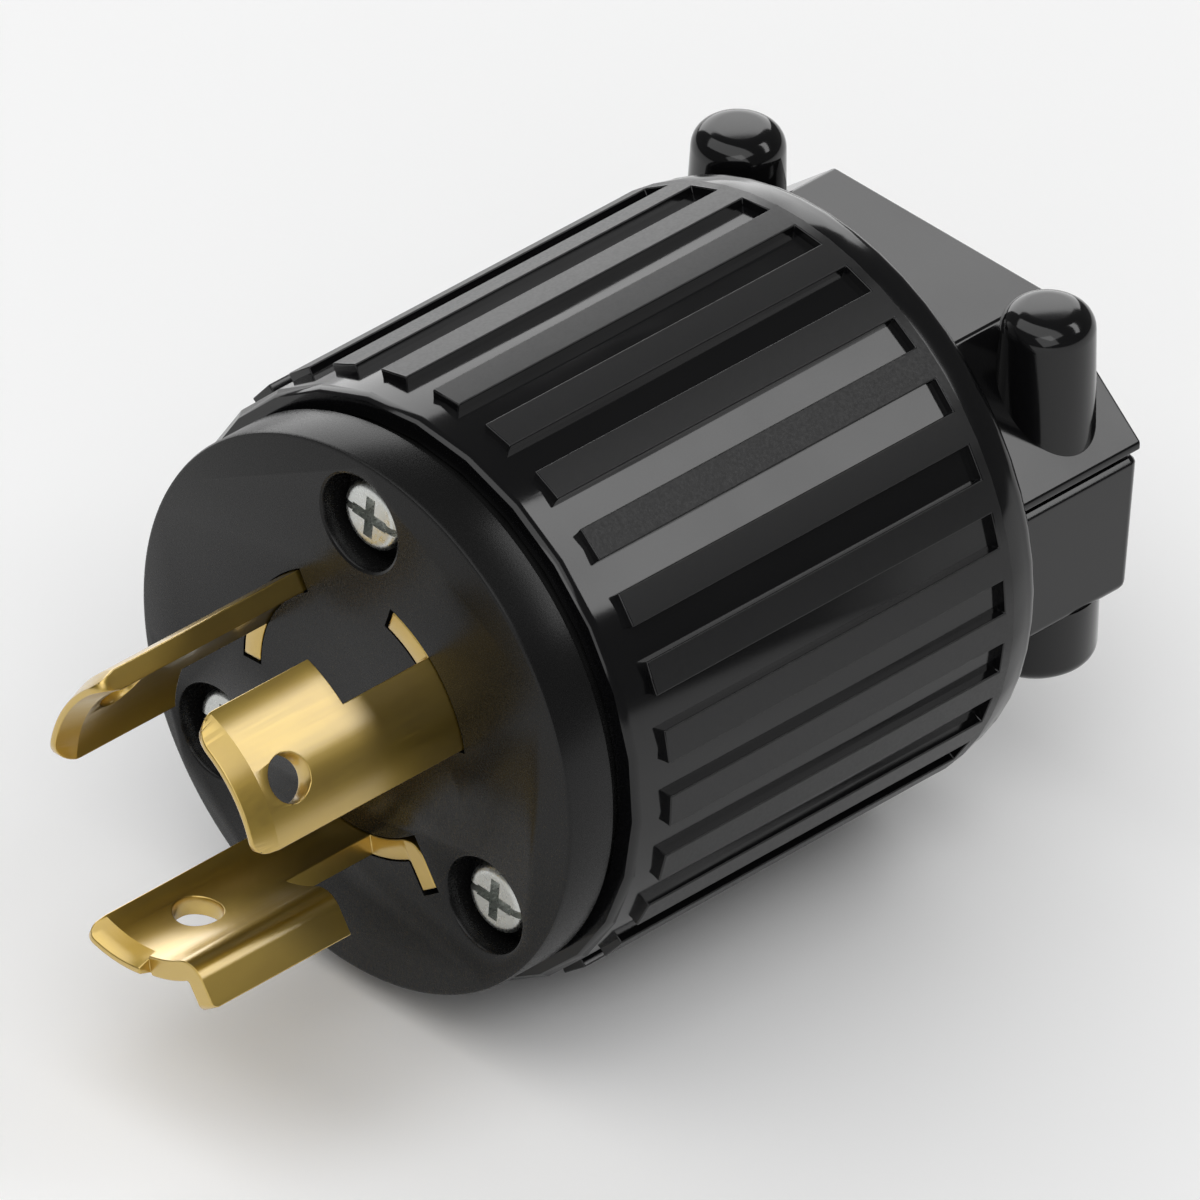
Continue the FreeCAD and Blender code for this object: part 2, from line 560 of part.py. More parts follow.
round_holes(carrier, "counterbore", "sink_r", None, "sink_len")
round_holes(carrier, "screw_way", "screw_way_r")

# Terminal block
block = new_body("rear_body")
along_prism(block, "AdditivePrism", "block_body", "rib_count", "block_r", "carrier_end", "block_end")
doc.recompute()
blade_slots(block, "carrier_end", "pocket_y", "slot_more", "block_slot")
for label, turn, neck_arc, notch_arc, term in BLADES:
    outline = new_sketch(block, "pocket_%s_outline" % label, "XZ_Plane", shift="-pocket_y", turn=term)
    add_outline(outline, [("pocket_in", "-pocket_half"), ("block_past", "-pocket_half"),
                          ("block_past", "pocket_half"), ("pocket_in", "pocket_half")])
    cut = feature(block, "Pocket", "pocket_%s" % label, outline, Length="pocket_len")
    checked(block, cut, False)
round_holes(block, "block_screw_way", "screw_way_r", "carrier_end")
wire_ways(block, "wire_way", "pocket_y")

# Insulating disc behind the terminals
divider = new_body("wire_divider")
along_prism(divider, "AdditivePrism", "divider_disc", "rib_count", "block_r", "block_end", "divider_end")
doc.recompute()
round_holes(divider, "divider_screw_way", "screw_way_r", "block_end")
wire_ways(divider, "divider_wire_way", "block_end")

# Shell: a 28-sided barrel with raised ribs, and the lower half of the cord clamp behind it
shell = new_body("shell")
along_prism(shell, "AdditivePrism", "front_barrel", "rib_count", "groove_r", "lip_y", "rib_front")
bevelled(shell, "mouth_bevel", "lip_bevel", at_level("y", "lip_y"))
ribbed = along_prism(shell, "AdditivePrism", "ribbed_barrel", "rib_corners", "rib_r", "rib_front",
                     "shell_end")
ribbed.AttachmentOffset = Placement(Vector(0, 0, 0), Rotation(Vector(0, 0, 1), 10))
bind(ribbed, AttachmentOffset__Rotation__Angle="quarter_pitch")
checked(shell, ribbed, True)
bevelled(shell, "rear_bevel", "rim_bevel", at_level("y", "shell_end"))
outline = new_sketch(shell, "rib_gap_outline", "XZ_Plane", shift="-rib_front", turn="half_pitch")
add_outline(outline, [("groove_floor", "-rib_gap_half"), ("past_rib", "-rib_gap_half"),
                      ("past_rib", "rib_gap_half"), ("groove_floor", "rib_gap_half")])
gap = feature(shell, "Pocket", "rib_gap", outline, Length="Sizes.rib_back - Sizes.rib_front")
checked(shell, gap, False)
gaps = shell.newObject("PartDesign::PolarPattern", "rib_gaps")
gaps.Originals = [gap]
gaps.Axis = (origin_part(shell, "Y_Axis"), [""])
gaps.Angle = 360
bind(gaps, Occurrences="rib_count")
shell.Tip = gaps
doc.recompute()

outline = new_sketch(shell, "saddle_outline", "XY_Plane", shift="saddle_top")
add_outline(outline, [("-clamp_w", "saddle_root"), ("clamp_w", "saddle_root"), ("clamp_w", "clamp_end"),
                      ("-clamp_w", "clamp_end")])
saddle = feature(shell, "Pad", "saddle", outline, Length="Sizes.saddle_top - Sizes.saddle_low",
                 TaperAngle="-saddle_draft")
saddle.Reversed = True
checked(shell, saddle, True)


def saddle_foot(edge):
    """Picks the edges round the underside of the lower half, behind the shell."""
    at_foot = at_level("z", "saddle_low")(edge)
    return at_foot and edge.CenterOfMass.y > size("shell_end") + NEAR


bevelled(shell, "saddle_foot_bevel", "saddle_bevel", saddle_foot)
outline = new_sketch(shell, "low_boss_circles", "XY_Plane", shift="low_boss_z")
add_circle(outline, "boss_x", "boss_y", "low_boss_r")
add_circle(outline, "-boss_x", "boss_y", "low_boss_r")
bosses = feature(shell, "Pad", "low_bosses", outline, Length="Sizes.low_boss_len + Sizes.saddle_bevel")
checked(shell, bosses, True)
bevelled(shell, "low_boss_bevel", "low_boss_bevel", at_level("z", "low_boss_z"))
hollow = along_prism(shell, "SubtractivePrism", "hollow", "rib_count", "bore_corner", "seat_y", "rear_wall_y")
checked(shell, hollow, False)
mouth = along_prism(shell, "SubtractivePrism", "mouth", "rib_count", "lip_corner", "lip_y", "seat_y")
checked(shell, mouth, False)
for angle in SCREWS:
    circle = new_sketch(shell, "post_%s_circle" % angle, "XZ_Plane", shift="-divider_end", turn=angle)
    add_circle(circle, "screw_at", None, "post_r")
    post = feature(shell, "Pad", "post_%s" % angle, circle, Length="Sizes.post_end - Sizes.divider_end")
    post.Reversed = True
    checked(shell, post, True)
for angle in SCREWS:
    x, z = polar("screw_at", angle)
    seat = along_prism(shell, "SubtractivePrism", "insert_seat_" + angle, "insert_sides", "insert_r",
                       "divider_end", "insert_end", x, z)
    checked(shell, seat, False)
circle = new_sketch(shell, "cord_hole_circle", "XZ_Plane", shift="-clamp_past")
add_circle(circle, None, "cord_z", "cord_r")
cut = feature(shell, "Pocket", "cord_hole", circle, Length="Sizes.clamp_past - Sizes.seal_y")
cut.Reversed = True
checked(shell, cut, False)


def ridge_spaces(body, tag):
    """Wider stretches of the cord's channel; what stays between them are the gripping ridges."""
    circle = new_sketch(body, tag + "_space_circle", "XZ_Plane", shift="-ridge_first")
    add_circle(circle, None, "cord_z", "channel_r")
    space = feature(body, "Pocket", tag + "_space", circle, Length="ridge_space")
    checked(body, space, False)
    row = body.newObject("PartDesign::LinearPattern", tag + "_spaces")
    row.Originals = [space]
    row.Direction = (origin_part(body, "Y_Axis"), [""])
    bind(row, Length="Sizes.ridge_step * (Sizes.ridge_spaces - 1)", Occurrences="ridge_spaces")
    body.Tip = row
    doc.recompute()


ridge_spaces(shell, "saddle")
for label, radius, depth in (("head_sink", "head_sink_r", "head_sink_len"),
                             ("clamp_way", "clamp_way_r", "Sizes.jaw_low - Sizes.low_boss_z")):
    outline = new_sketch(shell, label + "_circles", "XY_Plane", shift="low_boss_z")
    add_circle(outline, "boss_x", "boss_y", radius)
    add_circle(outline, "-boss_x", "boss_y", radius)
    cut = feature(shell, "Pocket", label, outline, Length=depth)
    cut.Reversed = True
    checked(shell, cut, False)
# Upper half of the cord clamp
jaw = new_body("cord_clamp")
outline = new_sketch(jaw, "jaw_outline", "XZ_Plane", shift="-jaw_y")
add_outline(outline, [("-clamp_w", "jaw_low"), ("clamp_w", "jaw_low"), ("clamp_w", "jaw_edge"),
                      ("jaw_top_w", "jaw_top"), ("-jaw_top_w", "jaw_top"), ("-clamp_w", "jaw_edge")])
prism = feature(jaw, "Pad", "jaw_block", outline, Length="Sizes.clamp_end - Sizes.jaw_y")
prism.Reversed = True
doc.recompute()
outline = new_sketch(jaw, "tall_boss_circles", "XY_Plane", shift="jaw_low")
add_circle(outline, "boss_x", "boss_y", "tall_r")
add_circle(outline, "-boss_x", "boss_y", "tall_r")
tall = feature(jaw, "Pad", "tall_bosses", outline, Length="Sizes.tall_z - Sizes.jaw_low")
checked(jaw, tall, True)
bevelled(jaw, "tall_boss_bevel", "tall_bevel", at_level("z", "tall_z"))
circle = new_sketch(jaw, "jaw_channel_circle", "XZ_Plane", shift="-clamp_past")
add_circle(circle, None, "cord_z", "cord_r")
cut = feature(jaw, "Pocket", "jaw_channel", circle, Length="Sizes.clamp_past - Sizes.seal_y")
cut.Reversed = True
checked(jaw, cut, False)
ridge_spaces(jaw, "jaw")
for side in ("boss_x", "-boss_x"):
    seat = jaw.newObject("PartDesign::SubtractivePrism", "insert_seat")
    seat.AttachmentSupport = [(origin_part(jaw, "XY_Plane"), "")]
    seat.MapMode = "FlatFace"
    bind(seat, Polygon="insert_sides", Circumradius="clamp_insert_r",
         Height="Sizes.clamp_insert_top - Sizes.jaw_low", AttachmentOffset__Base__x=side,
         AttachmentOffset__Base__y="boss_y", AttachmentOffset__Base__z="jaw_low")
    checked(jaw, seat, False)


# Plain turned and flat pieces

def along_plug(name, radius, front, back, angle, six_sided=False):
    """A cylinder or six-sided bar on an assembly screw's axis."""
    item = doc.addObject("Part::Prism" if six_sided else "Part::Cylinder", name)
    item.Placement = Placement(Vector(0, 0, 0), Rotation(Vector(1, 0, 0), -90))
    x, z = polar("screw_at", angle)
    bind(item, Height="%s - %s" % (formula(back), formula(front)), Placement__Base__y=front,
         Placement__Base__x=x, Placement__Base__z=z)
    if six_sided:
        bind(item, Polygon="insert_sides", Circumradius=radius)
    else:
        bind(item, Radius=radius)
    return item


def radial_cylinder(name, radius, inner, outer, angle):
    item = doc.addObject("Part::Cylinder", name)
    item.Placement = Placement(Vector(0, 0, 0), Rotation(Vector(0, 1, 0), 10))
    x, z = polar(inner, angle)
    bind(item, Radius=radius, Height="%s - %s" % (formula(outer), formula(inner)),
         Placement__Rotation__Angle="90 - " + formula(angle),
         Placement__Base__x=x, Placement__Base__y="term_pos", Placement__Base__z=z)
    return item


def radial_box(name, width, length, inner, outer, angle):
    """A box standing out from the axis, centred on the terminal's place."""
    item = doc.addObject("Part::Box", name)
    item.Placement = Placement(Vector(0, 0, 0), Rotation(Vector(0, 1, 0), 10))
    x, z = polar(inner, angle)
    half = "%s / 2" % formula(width)
    bind(item, Length=width, Width=length, Height="%s - %s" % (formula(outer), formula(inner)),
         Placement__Rotation__Angle="90 - " + formula(angle),
         Placement__Base__x="%s - %s * sin(%s * 1 deg)" % (x, half, formula(angle)),
         Placement__Base__y="Sizes.term_pos - %s / 2" % formula(length),
         Placement__Base__z="%s + %s * cos(%s * 1 deg)" % (z, half, formula(angle)))
    return item


def upright(name, radius, low, high, side, six_sided=False):
    """A cylinder or six-sided bar on one of the clamp screws' axes."""
    item = doc.addObject("Part::Prism" if six_sided else "Part::Cylinder", name)
    bind(item, Height="%s - %s" % (formula(high), formula(low)), Placement__Base__z=low,
         Placement__Base__y="boss_y", Placement__Base__x="boss_x" if side > 0 else "-boss_x")
    if six_sided:
        bind(item, Polygon="insert_sides", Circumradius=radius)
    else:
        bind(item, Radius=radius)
    return item


def joined(name, parts):
    item = doc.addObject("Part::MultiFuse", name)
    item.Shapes = parts
    return item


def cut_from(name, base, tool):
    item = doc.addObject("Part::Cut", name)
    item.Base = base
    item.Tool = tool
    return item


def group(name, items):
    """Alike pieces kept together in one node, each its own solid."""
    item = doc.addObject("Part::Compound", name)
    item.Links = items
    item.Label = name
    return item


for label, turn, neck_arc, notch_arc, term in BLADES:
    plate = radial_box("plate_%s" % label, "plate_w", "plate_w", "plate_in", "plate_out", term)
    way = radial_cylinder("plate_way_%s" % label, "plate_way_r", "plate_in", "plate_out", term)
    cut_from("wire_plate_" + label, plate, way).Label = "wire_plate_" + label

terminal_screws = []
for label, turn, neck_arc, notch_arc, term in BLADES:
    shank = radial_cylinder("term_shank_" + label, "term_r", "term_tip", "plate_out", term)
    head = radial_cylinder("term_head_" + label, "term_head_r", "plate_out", "term_head_out", term)
    slot = radial_box("term_slot_" + label, "drive_w", "term_slot_len", "term_slot_in", "term_slot_out",
                      term)
    solid = joined("term_solid_" + label, [shank, head])
    terminal_screws.append(cut_from("term_screw_" + label, solid, slot))
group("line_terminal_screws", terminal_screws[:2])
terminal_screws[2].Label = "ground_terminal_screw"

face_screws = []
inserts = []
for angle in SCREWS:
    head = along_plug("face_head_" + angle, "screw_head_r", "screw_head_y", "sink_len", angle)
    shank = along_plug("face_shank_" + angle, "screw_r", "sink_len", "screw_end", angle)
    recess = []
    for tag, size_x, size_z in (("a", "drive_len", "drive_w"), ("b", "drive_w", "drive_len")):
        bar = doc.addObject("Part::Box", "face_drive_%s_%s" % (tag, angle))
        x, z = polar("screw_at", angle)
        bind(bar, Length=size_x, Width="drive_deep", Height=size_z, Placement__Base__y="drive_y",
             Placement__Base__x="%s - %s / 2" % (x, formula(size_x)),
             Placement__Base__z="%s - %s / 2" % (z, formula(size_z)))
        recess.append(bar)
    solid = joined("face_solid_" + angle, [head, shank])
    face_screws.append(cut_from("face_screw_" + angle, solid, joined("face_recess_" + angle, recess)))
    outer = along_plug("insert_outer_" + angle, "insert_r", "divider_end", "insert_end", angle, True)
    inner = along_plug("insert_inner_" + angle, "screw_r", "divider_end", "insert_end", angle)
    inserts.append(cut_from("shell_insert_" + angle, outer, inner))
group("face_screws", face_screws)
group("shell_inserts", inserts)

clamp_screws = []
clamp_washers = []
clamp_inserts = []
for side, tag in ((1, "right"), (-1, "left")):
    head = upright("clamp_head_" + tag, "clamp_head_r", "clamp_head_low", "washer_low", side)
    shank = upright("clamp_shank_" + tag, "clamp_screw_r", "washer_low", "clamp_tip", side)
    recess = []
    for name, size_x, size_y in (("a", "drive_len", "drive_w"), ("b", "drive_w", "drive_len")):
        bar = doc.addObject("Part::Box", "clamp_drive_%s_%s" % (name, tag))
        bind(bar, Length=size_x, Width=size_y, Height="drive_deep", Placement__Base__z="clamp_drive_z",
             Placement__Base__x="Sizes.boss_x * %d - %s / 2" % (side, formula(size_x)),
             Placement__Base__y="Sizes.boss_y - %s / 2" % formula(size_y))
        recess.append(bar)
    solid = joined("clamp_solid_" + tag, [head, shank])
    clamp_screws.append(cut_from("clamp_screw_" + tag, solid, joined("clamp_recess_" + tag, recess)))
    outer = upright("washer_outer_" + tag, "washer_r", "washer_low", "washer_top", side)
    inner = upright("washer_inner_" + tag, "clamp_screw_r", "washer_low", "washer_top", side)
    clamp_washers.append(cut_from("clamp_washer_" + tag, outer, inner))
    outer = upright("clamp_insert_outer_" + tag, "clamp_insert_r", "clamp_insert_low", "clamp_insert_top",
                    side, True)
    inner = upright("clamp_insert_inner_" + tag, "clamp_screw_r", "clamp_insert_low", "clamp_insert_top",
                    side)
    clamp_inserts.append(cut_from("clamp_insert_" + tag, outer, inner))
group("clamp_screws", clamp_screws)
group("clamp_washers", clamp_washers)
group("clamp_inserts", clamp_inserts)

seal = new_body("dust_seal")
circle = new_sketch(seal, "seal_circles", "XZ_Plane", shift="-seal_y")
add_circle(circle, None, "cord_z", "seal_r")
add_circle(circle, None, "cord_z", "seal_hole_r")
ring = feature(seal, "Pad", "seal_ring", circle, Length="Sizes.rear_wall_y - Sizes.seal_y")
ring.Reversed = True
doc.recompute()

NODES = ["front_body", "rear_body", "wire_divider", "shell", "cord_clamp", "line_blade_x", "line_blade_y",
         "ground_blade", "wire_plate_x", "wire_plate_y", "wire_plate_ground", "line_terminal_screws",
         "ground_terminal_screw", "face_screws", "shell_inserts", "clamp_screws", "clamp_washers",
         "clamp_inserts", "dust_seal"]

doc.recompute()
for item in doc.Objects:
    if "Invalid" in item.State or "Error" in item.State:
        raise ValueError("%s did not build" % item.Name)
for node in NODES:
    found = doc.getObjectsByLabel(node)
    if len(found) != 1:
        raise ValueError("%s: %d objects with this label" % (node, len(found)))
    shape = found[0].Shape
    if shape.isNull() or not shape.isValid() or not shape.Solids:
        raise ValueError("%s has no sound shape" % node)
    shape.exportStep("parts/%s.step" % node)
    box = shape.BoundBox
    print("%-22s %d solids %9.1f mm3  x %.2f..%.2f y %.2f..%.2f z %.2f..%.2f" % (
        node, len(shape.Solids), shape.Volume, box.XMin, box.XMax, box.YMin, box.YMax, box.ZMin, box.ZMax))
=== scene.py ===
import math

import bmesh
import bpy
from mathutils import Matrix, Vector


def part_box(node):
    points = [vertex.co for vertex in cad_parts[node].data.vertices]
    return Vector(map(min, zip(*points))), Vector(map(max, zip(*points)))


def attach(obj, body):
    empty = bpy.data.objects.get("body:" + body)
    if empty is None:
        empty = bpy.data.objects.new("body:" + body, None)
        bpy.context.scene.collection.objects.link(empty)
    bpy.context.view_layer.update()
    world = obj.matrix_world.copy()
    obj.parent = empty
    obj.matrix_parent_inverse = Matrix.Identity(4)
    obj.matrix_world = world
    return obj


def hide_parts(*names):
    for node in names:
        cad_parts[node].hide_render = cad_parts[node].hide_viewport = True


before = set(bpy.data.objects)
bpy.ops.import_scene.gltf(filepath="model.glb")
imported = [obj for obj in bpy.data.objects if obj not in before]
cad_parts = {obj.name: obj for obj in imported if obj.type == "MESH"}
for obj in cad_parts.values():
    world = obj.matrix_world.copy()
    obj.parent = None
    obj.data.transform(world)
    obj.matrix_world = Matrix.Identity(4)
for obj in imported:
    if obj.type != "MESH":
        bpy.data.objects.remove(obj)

bl_info = {
    "name": "Locking power plug",
    "version": (1, 0, 0),
    "blender": (4, 5, 0),
    "location": "View3D > Sidebar > Plug",
    "description": "Builds the visible pieces of a round locking power plug over its fixed frame",
    "category": "Add Mesh",
}

MM = 0.001
MERGE = 0.001 * MM  # corners nearer than this are one
PAST = 1 * MM  # how far a cutting tool reaches past its piece
FACET = math.radians(1.5)  # one step round a blade
MOUTH_SEAT = 1.4 * MM  # how deep the face's body stands in the shell's mouth
DRILL_IN, DRILL_OUT = 8 * MM, 14 * MM  # the radii between which a blade is drilled and rounded
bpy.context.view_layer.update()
FACE_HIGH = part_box("front_body")[1]
SHELL_LOW, SHELL_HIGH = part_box("shell")
JAW_LOW, JAW_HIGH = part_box("cord_clamp")
LINE_LOW, LINE_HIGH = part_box("line_blade_x")
GROUND_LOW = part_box("ground_blade")[0]
FACE_SCREW_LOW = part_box("face_screws")[0]
CLAMP_SCREW_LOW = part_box("clamp_screws")[0]


def length(name, description, value):
    """A length that a user can change, in the scene's metres."""
    return bpy.props.FloatProperty(name=name, description=description, default=value, min=0.0,
                                   precision=5, unit="LENGTH")


def turn(name, description, degrees):
    """An angle round the plug's axis, from the right (+X) towards the top (+Z)."""
    return bpy.props.FloatProperty(name=name, description=description, default=math.radians(degrees),
                                   unit="ROTATION")


def linear(code):
    """Linear colour of an sRGB hex code."""
    parts = [int(code[i:i + 2], 16) / 255 for i in (1, 3, 5)]
    return [p / 12.92 if p <= 0.04045 else ((p + 0.055) / 1.055) ** 2.4 for p in parts]


def colour(name, description, code):
    """A colour that a user can change, given as a hex code."""
    return bpy.props.FloatVectorProperty(name=name, description=description, default=linear(code),
                                         subtype="COLOR", min=0.0, max=1.0)


class PlugShellSizes(bpy.types.PropertyGroup):
    rib_count: bpy.props.IntProperty(name="Ribs", description="Ribs round the shell", default=28, min=8)
    rib_flat: length("Rib flat", "Distance of a rib's flat from the axis", SHELL_HIGH.x)
    rib_rise: length("Rib rise", "How far a rib's corners stand over the barrel's corners", 0.62 * MM)
    front: length("Front", "Front edge of the shell, from the face", SHELL_LOW.y)
    mouth: length("Mouth", "Radius of the shell's mouth", 22.45 * MM)
    bore: length("Bore", "Inner radius of the shell", 20.9 * MM)
    rib_front: length("Rib front", "Front end of the ribs", 8.67 * MM)
    rib_back: length("Rib back", "Back end of the grooves", 44.45 * MM)
    rim_start: length("Rim start", "Where the shell starts to taper behind the grooves", 45.4 * MM)
    rim_taper: length("Rim taper", "How far the taper drops before the rim rounds off", 0.4 * MM)
    rim_bend: length("Rim bend", "Where the rim starts to round off", 47.2 * MM)
    back: length("Back", "Back wall of the shell", 48.8 * MM)
    rim_drop: length("Rim drop", "How far the back rim rounds off inwards", 1.2 * MM)
    edge: length("Edge", "Rounding of the ribs' edges", 0.13 * MM)


class PlugClampSizes(bpy.types.PropertyGroup):
    half_width: length("Half width", "Half the width of the cord clamp", JAW_HIGH.x)
    end: length("End", "Back of the cord clamp", SHELL_HIGH.y)
    jaw_front: length("Jaw front", "Front of the upper half", JAW_LOW.y)
    jaw_low: length("Jaw low", "Underside of the upper half", JAW_LOW.z)
    jaw_lip: length("Jaw lip", "Height of the upright edge under the slopes", 0.7 * MM)
    jaw_top: length("Jaw top", "Top of the upper half", 15.84 * MM)
    jaw_top_half: length("Top half width", "Half the width of the flat top", 11.5 * MM)
    tall_top: length("Boss top", "Top of the tall bosses", JAW_HIGH.z)
    tall_radius: length("Boss radius", "Radius of a tall boss", 3.7 * MM)
    tall_draft: length("Boss draft", "How much wider a tall boss is at its foot", 0.35 * MM)
    tall_round: length("Boss rounding", "Rounding at a tall boss's top", 1.9 * MM)
    screw_x: length("Screw side", "Clamp screws' distance from the middle", 16.62 * MM)
    screw_y: length("Screw place", "Clamp screws' place along the plug", 56.8 * MM)
    saddle_top: length("Saddle top", "Top of the lower half", 5.95 * MM)
    saddle_depth: length("Saddle depth", "Height of the lower half", 12.4 * MM)
    low_boss_radius: length("Lower boss radius", "Radius of a lower boss", 4.9 * MM)
    low_boss_drop: length("Lower boss drop", "How far the lower bosses reach below the axis", 12.0 * MM)
    cord_height: length("Cord height", "Height of the cord's axis over the plug's", 6.25 * MM)
    grip: length("Grip radius", "Radius at the gripping ridges", 6.6 * MM)
    channel: length("Channel radius", "Radius between the ridges", 7.2 * MM)


class PlugFaceSizes(bpy.types.PropertyGroup):
    radius: length("Face radius", "Radius of the face disc", FACE_HIGH.x)
    bevel: length("Face bevel", "Bevel round the face", 0.35 * MM)
    band: length("Band", "Length of the band behind the face", 4.6 * MM)
    neck: length("Neck", "Radius where the face sits in the shell", 22.3 * MM)
    screw_circle: length("Screw circle", "Distance of the face screws from the axis", 17.5 * MM)
    screw_a: turn("Upper screw", "Angle of the upper screw", 90.6)
    screw_b: turn("Left screw", "Angle of the left screw", 212)
    screw_c: turn("Right screw", "Angle of the right screw", -35.5)
    sink_radius: length("Sink radius", "Radius of a counterbore", 3.95 * MM)
    sink_depth: length("Sink depth", "Depth of a counterbore", 3.0 * MM)
    sink_bevel: length("Sink bevel", "Bevel round a counterbore", 0.3 * MM)
    head_top: length("Head top", "How far the heads lie below the face", FACE_SCREW_LOW.y)
    head_radius: length("Head radius", "Radius of a face screw's head", 2.9 * MM)


class PlugBladeSizes(bpy.types.PropertyGroup):
    outer: length("Outer radius", "Outer radius of the blades", 11.9 * MM)
    thickness: length("Thickness", "Thickness of the brass", 1.7 * MM)
    line_reach: length("Line reach", "How far a line blade stands out of the face", -LINE_LOW.y)
    ground_reach: length("Ground reach", "How far the ground blade stands out", -GROUND_LOW.y)
    root: length("Root", "Back end of a blade inside the plug", LINE_HIGH.y)
    notch: length("Notch", "Length of the locking notch", 8.9 * MM)
    slot_gap: length("Slot gap", "Clearance of a blade in its slot", 0.12 * MM)
    hole: length("Hole", "Radius of a blade's hole", 1.95 * MM)
    hole_reach: length("Hole reach", "Distance of the hole in front of the face", 16.4 * MM)
    terminal_hole: length("Terminal hole", "Radius of the hole for a terminal screw", 1.9 * MM)
    terminal_place: length("Terminal place", "Terminals' place along the plug", 19.4 * MM)
    leg_out: length("Leg out", "Radius that the ground blade's leg reaches", 14.45 * MM)
    bend: length("Bend", "Middle radius of the leg's bend", 1.1 * MM)
    leg_reach: length("Leg reach", "How far the leg stands out of the face", 23.3 * MM)
    leg_corner: length("Leg corner", "Rounding of the leg's corner", 0.6 * MM)
    tip_drop: length("Tip bevel", "How deep the bevels at a blade's tip go", 0.6 * MM)
    tip_run: length("Tip bevel length", "Length of the bevels at a blade's tip", 1.95 * MM)
    corner: length("Corner", "Rounding of a tip's outer corner", 1.2 * MM)
    notch_corner: length("Notch corner", "Rounding of a tip's corner over the notch", 2.4 * MM)
    edge: length("Edge", "Rounding of the brass's edges", 0.1 * MM)
    right_start: turn("Right start", "Start of the right blade", 13.5)
    left_start: turn("Left start", "Start of the left blade", 123.3)
    line_neck: turn("Line neck", "Arc of a line blade's neck", 37.2)
    line_notch: turn("Line notch", "Arc of a line blade's notch", 21.3)
    line_hole: turn("Line hole", "Hole's angle from the blade's start", 22.8)
    ground_start: turn("Ground start", "Start of the ground blade", -110.5)
    ground_neck: turn("Ground neck", "Arc of the ground blade's neck", 32)
    ground_notch: turn("Ground notch", "Arc of the ground blade's notch", 24.5)
    ground_hole: turn("Ground hole", "Hole's angle from the ground blade's start", 22)
    ground_terminal: turn("Ground terminal", "Terminal's angle from the ground blade's start", 28.3)


class PlugColours(bpy.types.PropertyGroup):
    gloss_nylon: colour("Shell", "Black nylon of the shell", "#0d0d0e")
    matte_nylon: colour("Face", "Black nylon of the face", "#121212")
    brass: colour("Brass", "Rolled brass of the blades", "#c5a43f")
    brass_dark: colour("Tarnish", "Brass where it has darkened", "#b59339")
    zinc: colour("Zinc", "Bright zinc plate of the screws", "#c9cbc8")
    backdrop: colour("Backdrop", "Floor and background", "#fbfbfb")


# Small tools

def sizes(group):
    """The sizes or colours of one group, as the user has set them."""
    return getattr(bpy.context.scene, "plug_" + group)


def only(piece):
    """Selects one piece and nothing else."""
    if bpy.context.object and bpy.context.object.mode != "OBJECT":
        bpy.ops.object.mode_set(mode="OBJECT")
    bpy.ops.object.select_all(action="DESELECT")
    if piece:
        piece.select_set(True)
        bpy.context.view_layer.objects.active = piece
    return piece


def pick(kind, test):
    """In edit mode, selects the faces, edges or corners that pass a test."""
    bpy.ops.mesh.select_mode(type=kind)
    bpy.ops.mesh.select_all(action="DESELECT")
    data = bpy.context.object.data
    grid = bmesh.from_edit_mesh(data)
    found = 0
    for item in {"FACE": grid.faces, "EDGE": grid.edges, "VERT": grid.verts}[kind]:
        if test(item):
            item.select_set(True)
            found += 1
    grid.select_flush_mode()
    bmesh.update_edit_mesh(data)
    if not found:
        raise ValueError("nothing to pick on " + bpy.context.object.name)


def finish_piece(piece, name):
    """Names a piece and puts its place into its mesh."""
    only(piece)
    bpy.ops.object.transform_apply(location=True, rotation=True, scale=True)
    piece.name = name
    piece.data.name = name
    return piece


def with_modifier(piece, kind, **settings):
    """Gives a piece a modifier and applies it."""
    only(piece)
    modifier = piece.modifiers.new(kind.title(), kind)
    for key, value in settings.items():
        setattr(modifier, key, value)
    bpy.ops.object.modifier_apply(modifier=modifier.name)
    return piece


def cut(piece, *tools):
    """Takes the tools' shapes out of a piece and deletes them."""
    for tool in tools:
        with_modifier(piece, "BOOLEAN", object=tool, operation="DIFFERENCE", solver="EXACT")
        bpy.data.objects.remove(tool, do_unlink=True)
    return piece


def join(name, pieces):
    """Makes one piece of several."""
    only(pieces[0])
    for piece in pieces:
        piece.select_set(True)
    bpy.ops.object.join()
    return finish_piece(bpy.context.object, name)


def copies(model, settings):
    """Copies of a model, each with its own mesh, at each place and turn. The model itself goes."""
    made = []
    for place, turned in settings:
        only(model)
        bpy.ops.object.duplicate(linked=False)
        piece = bpy.context.object
        piece.location, piece.rotation_euler = place, turned
        made.append(finish_piece(piece, model.name))
    bpy.data.objects.remove(model, do_unlink=True)
    return made


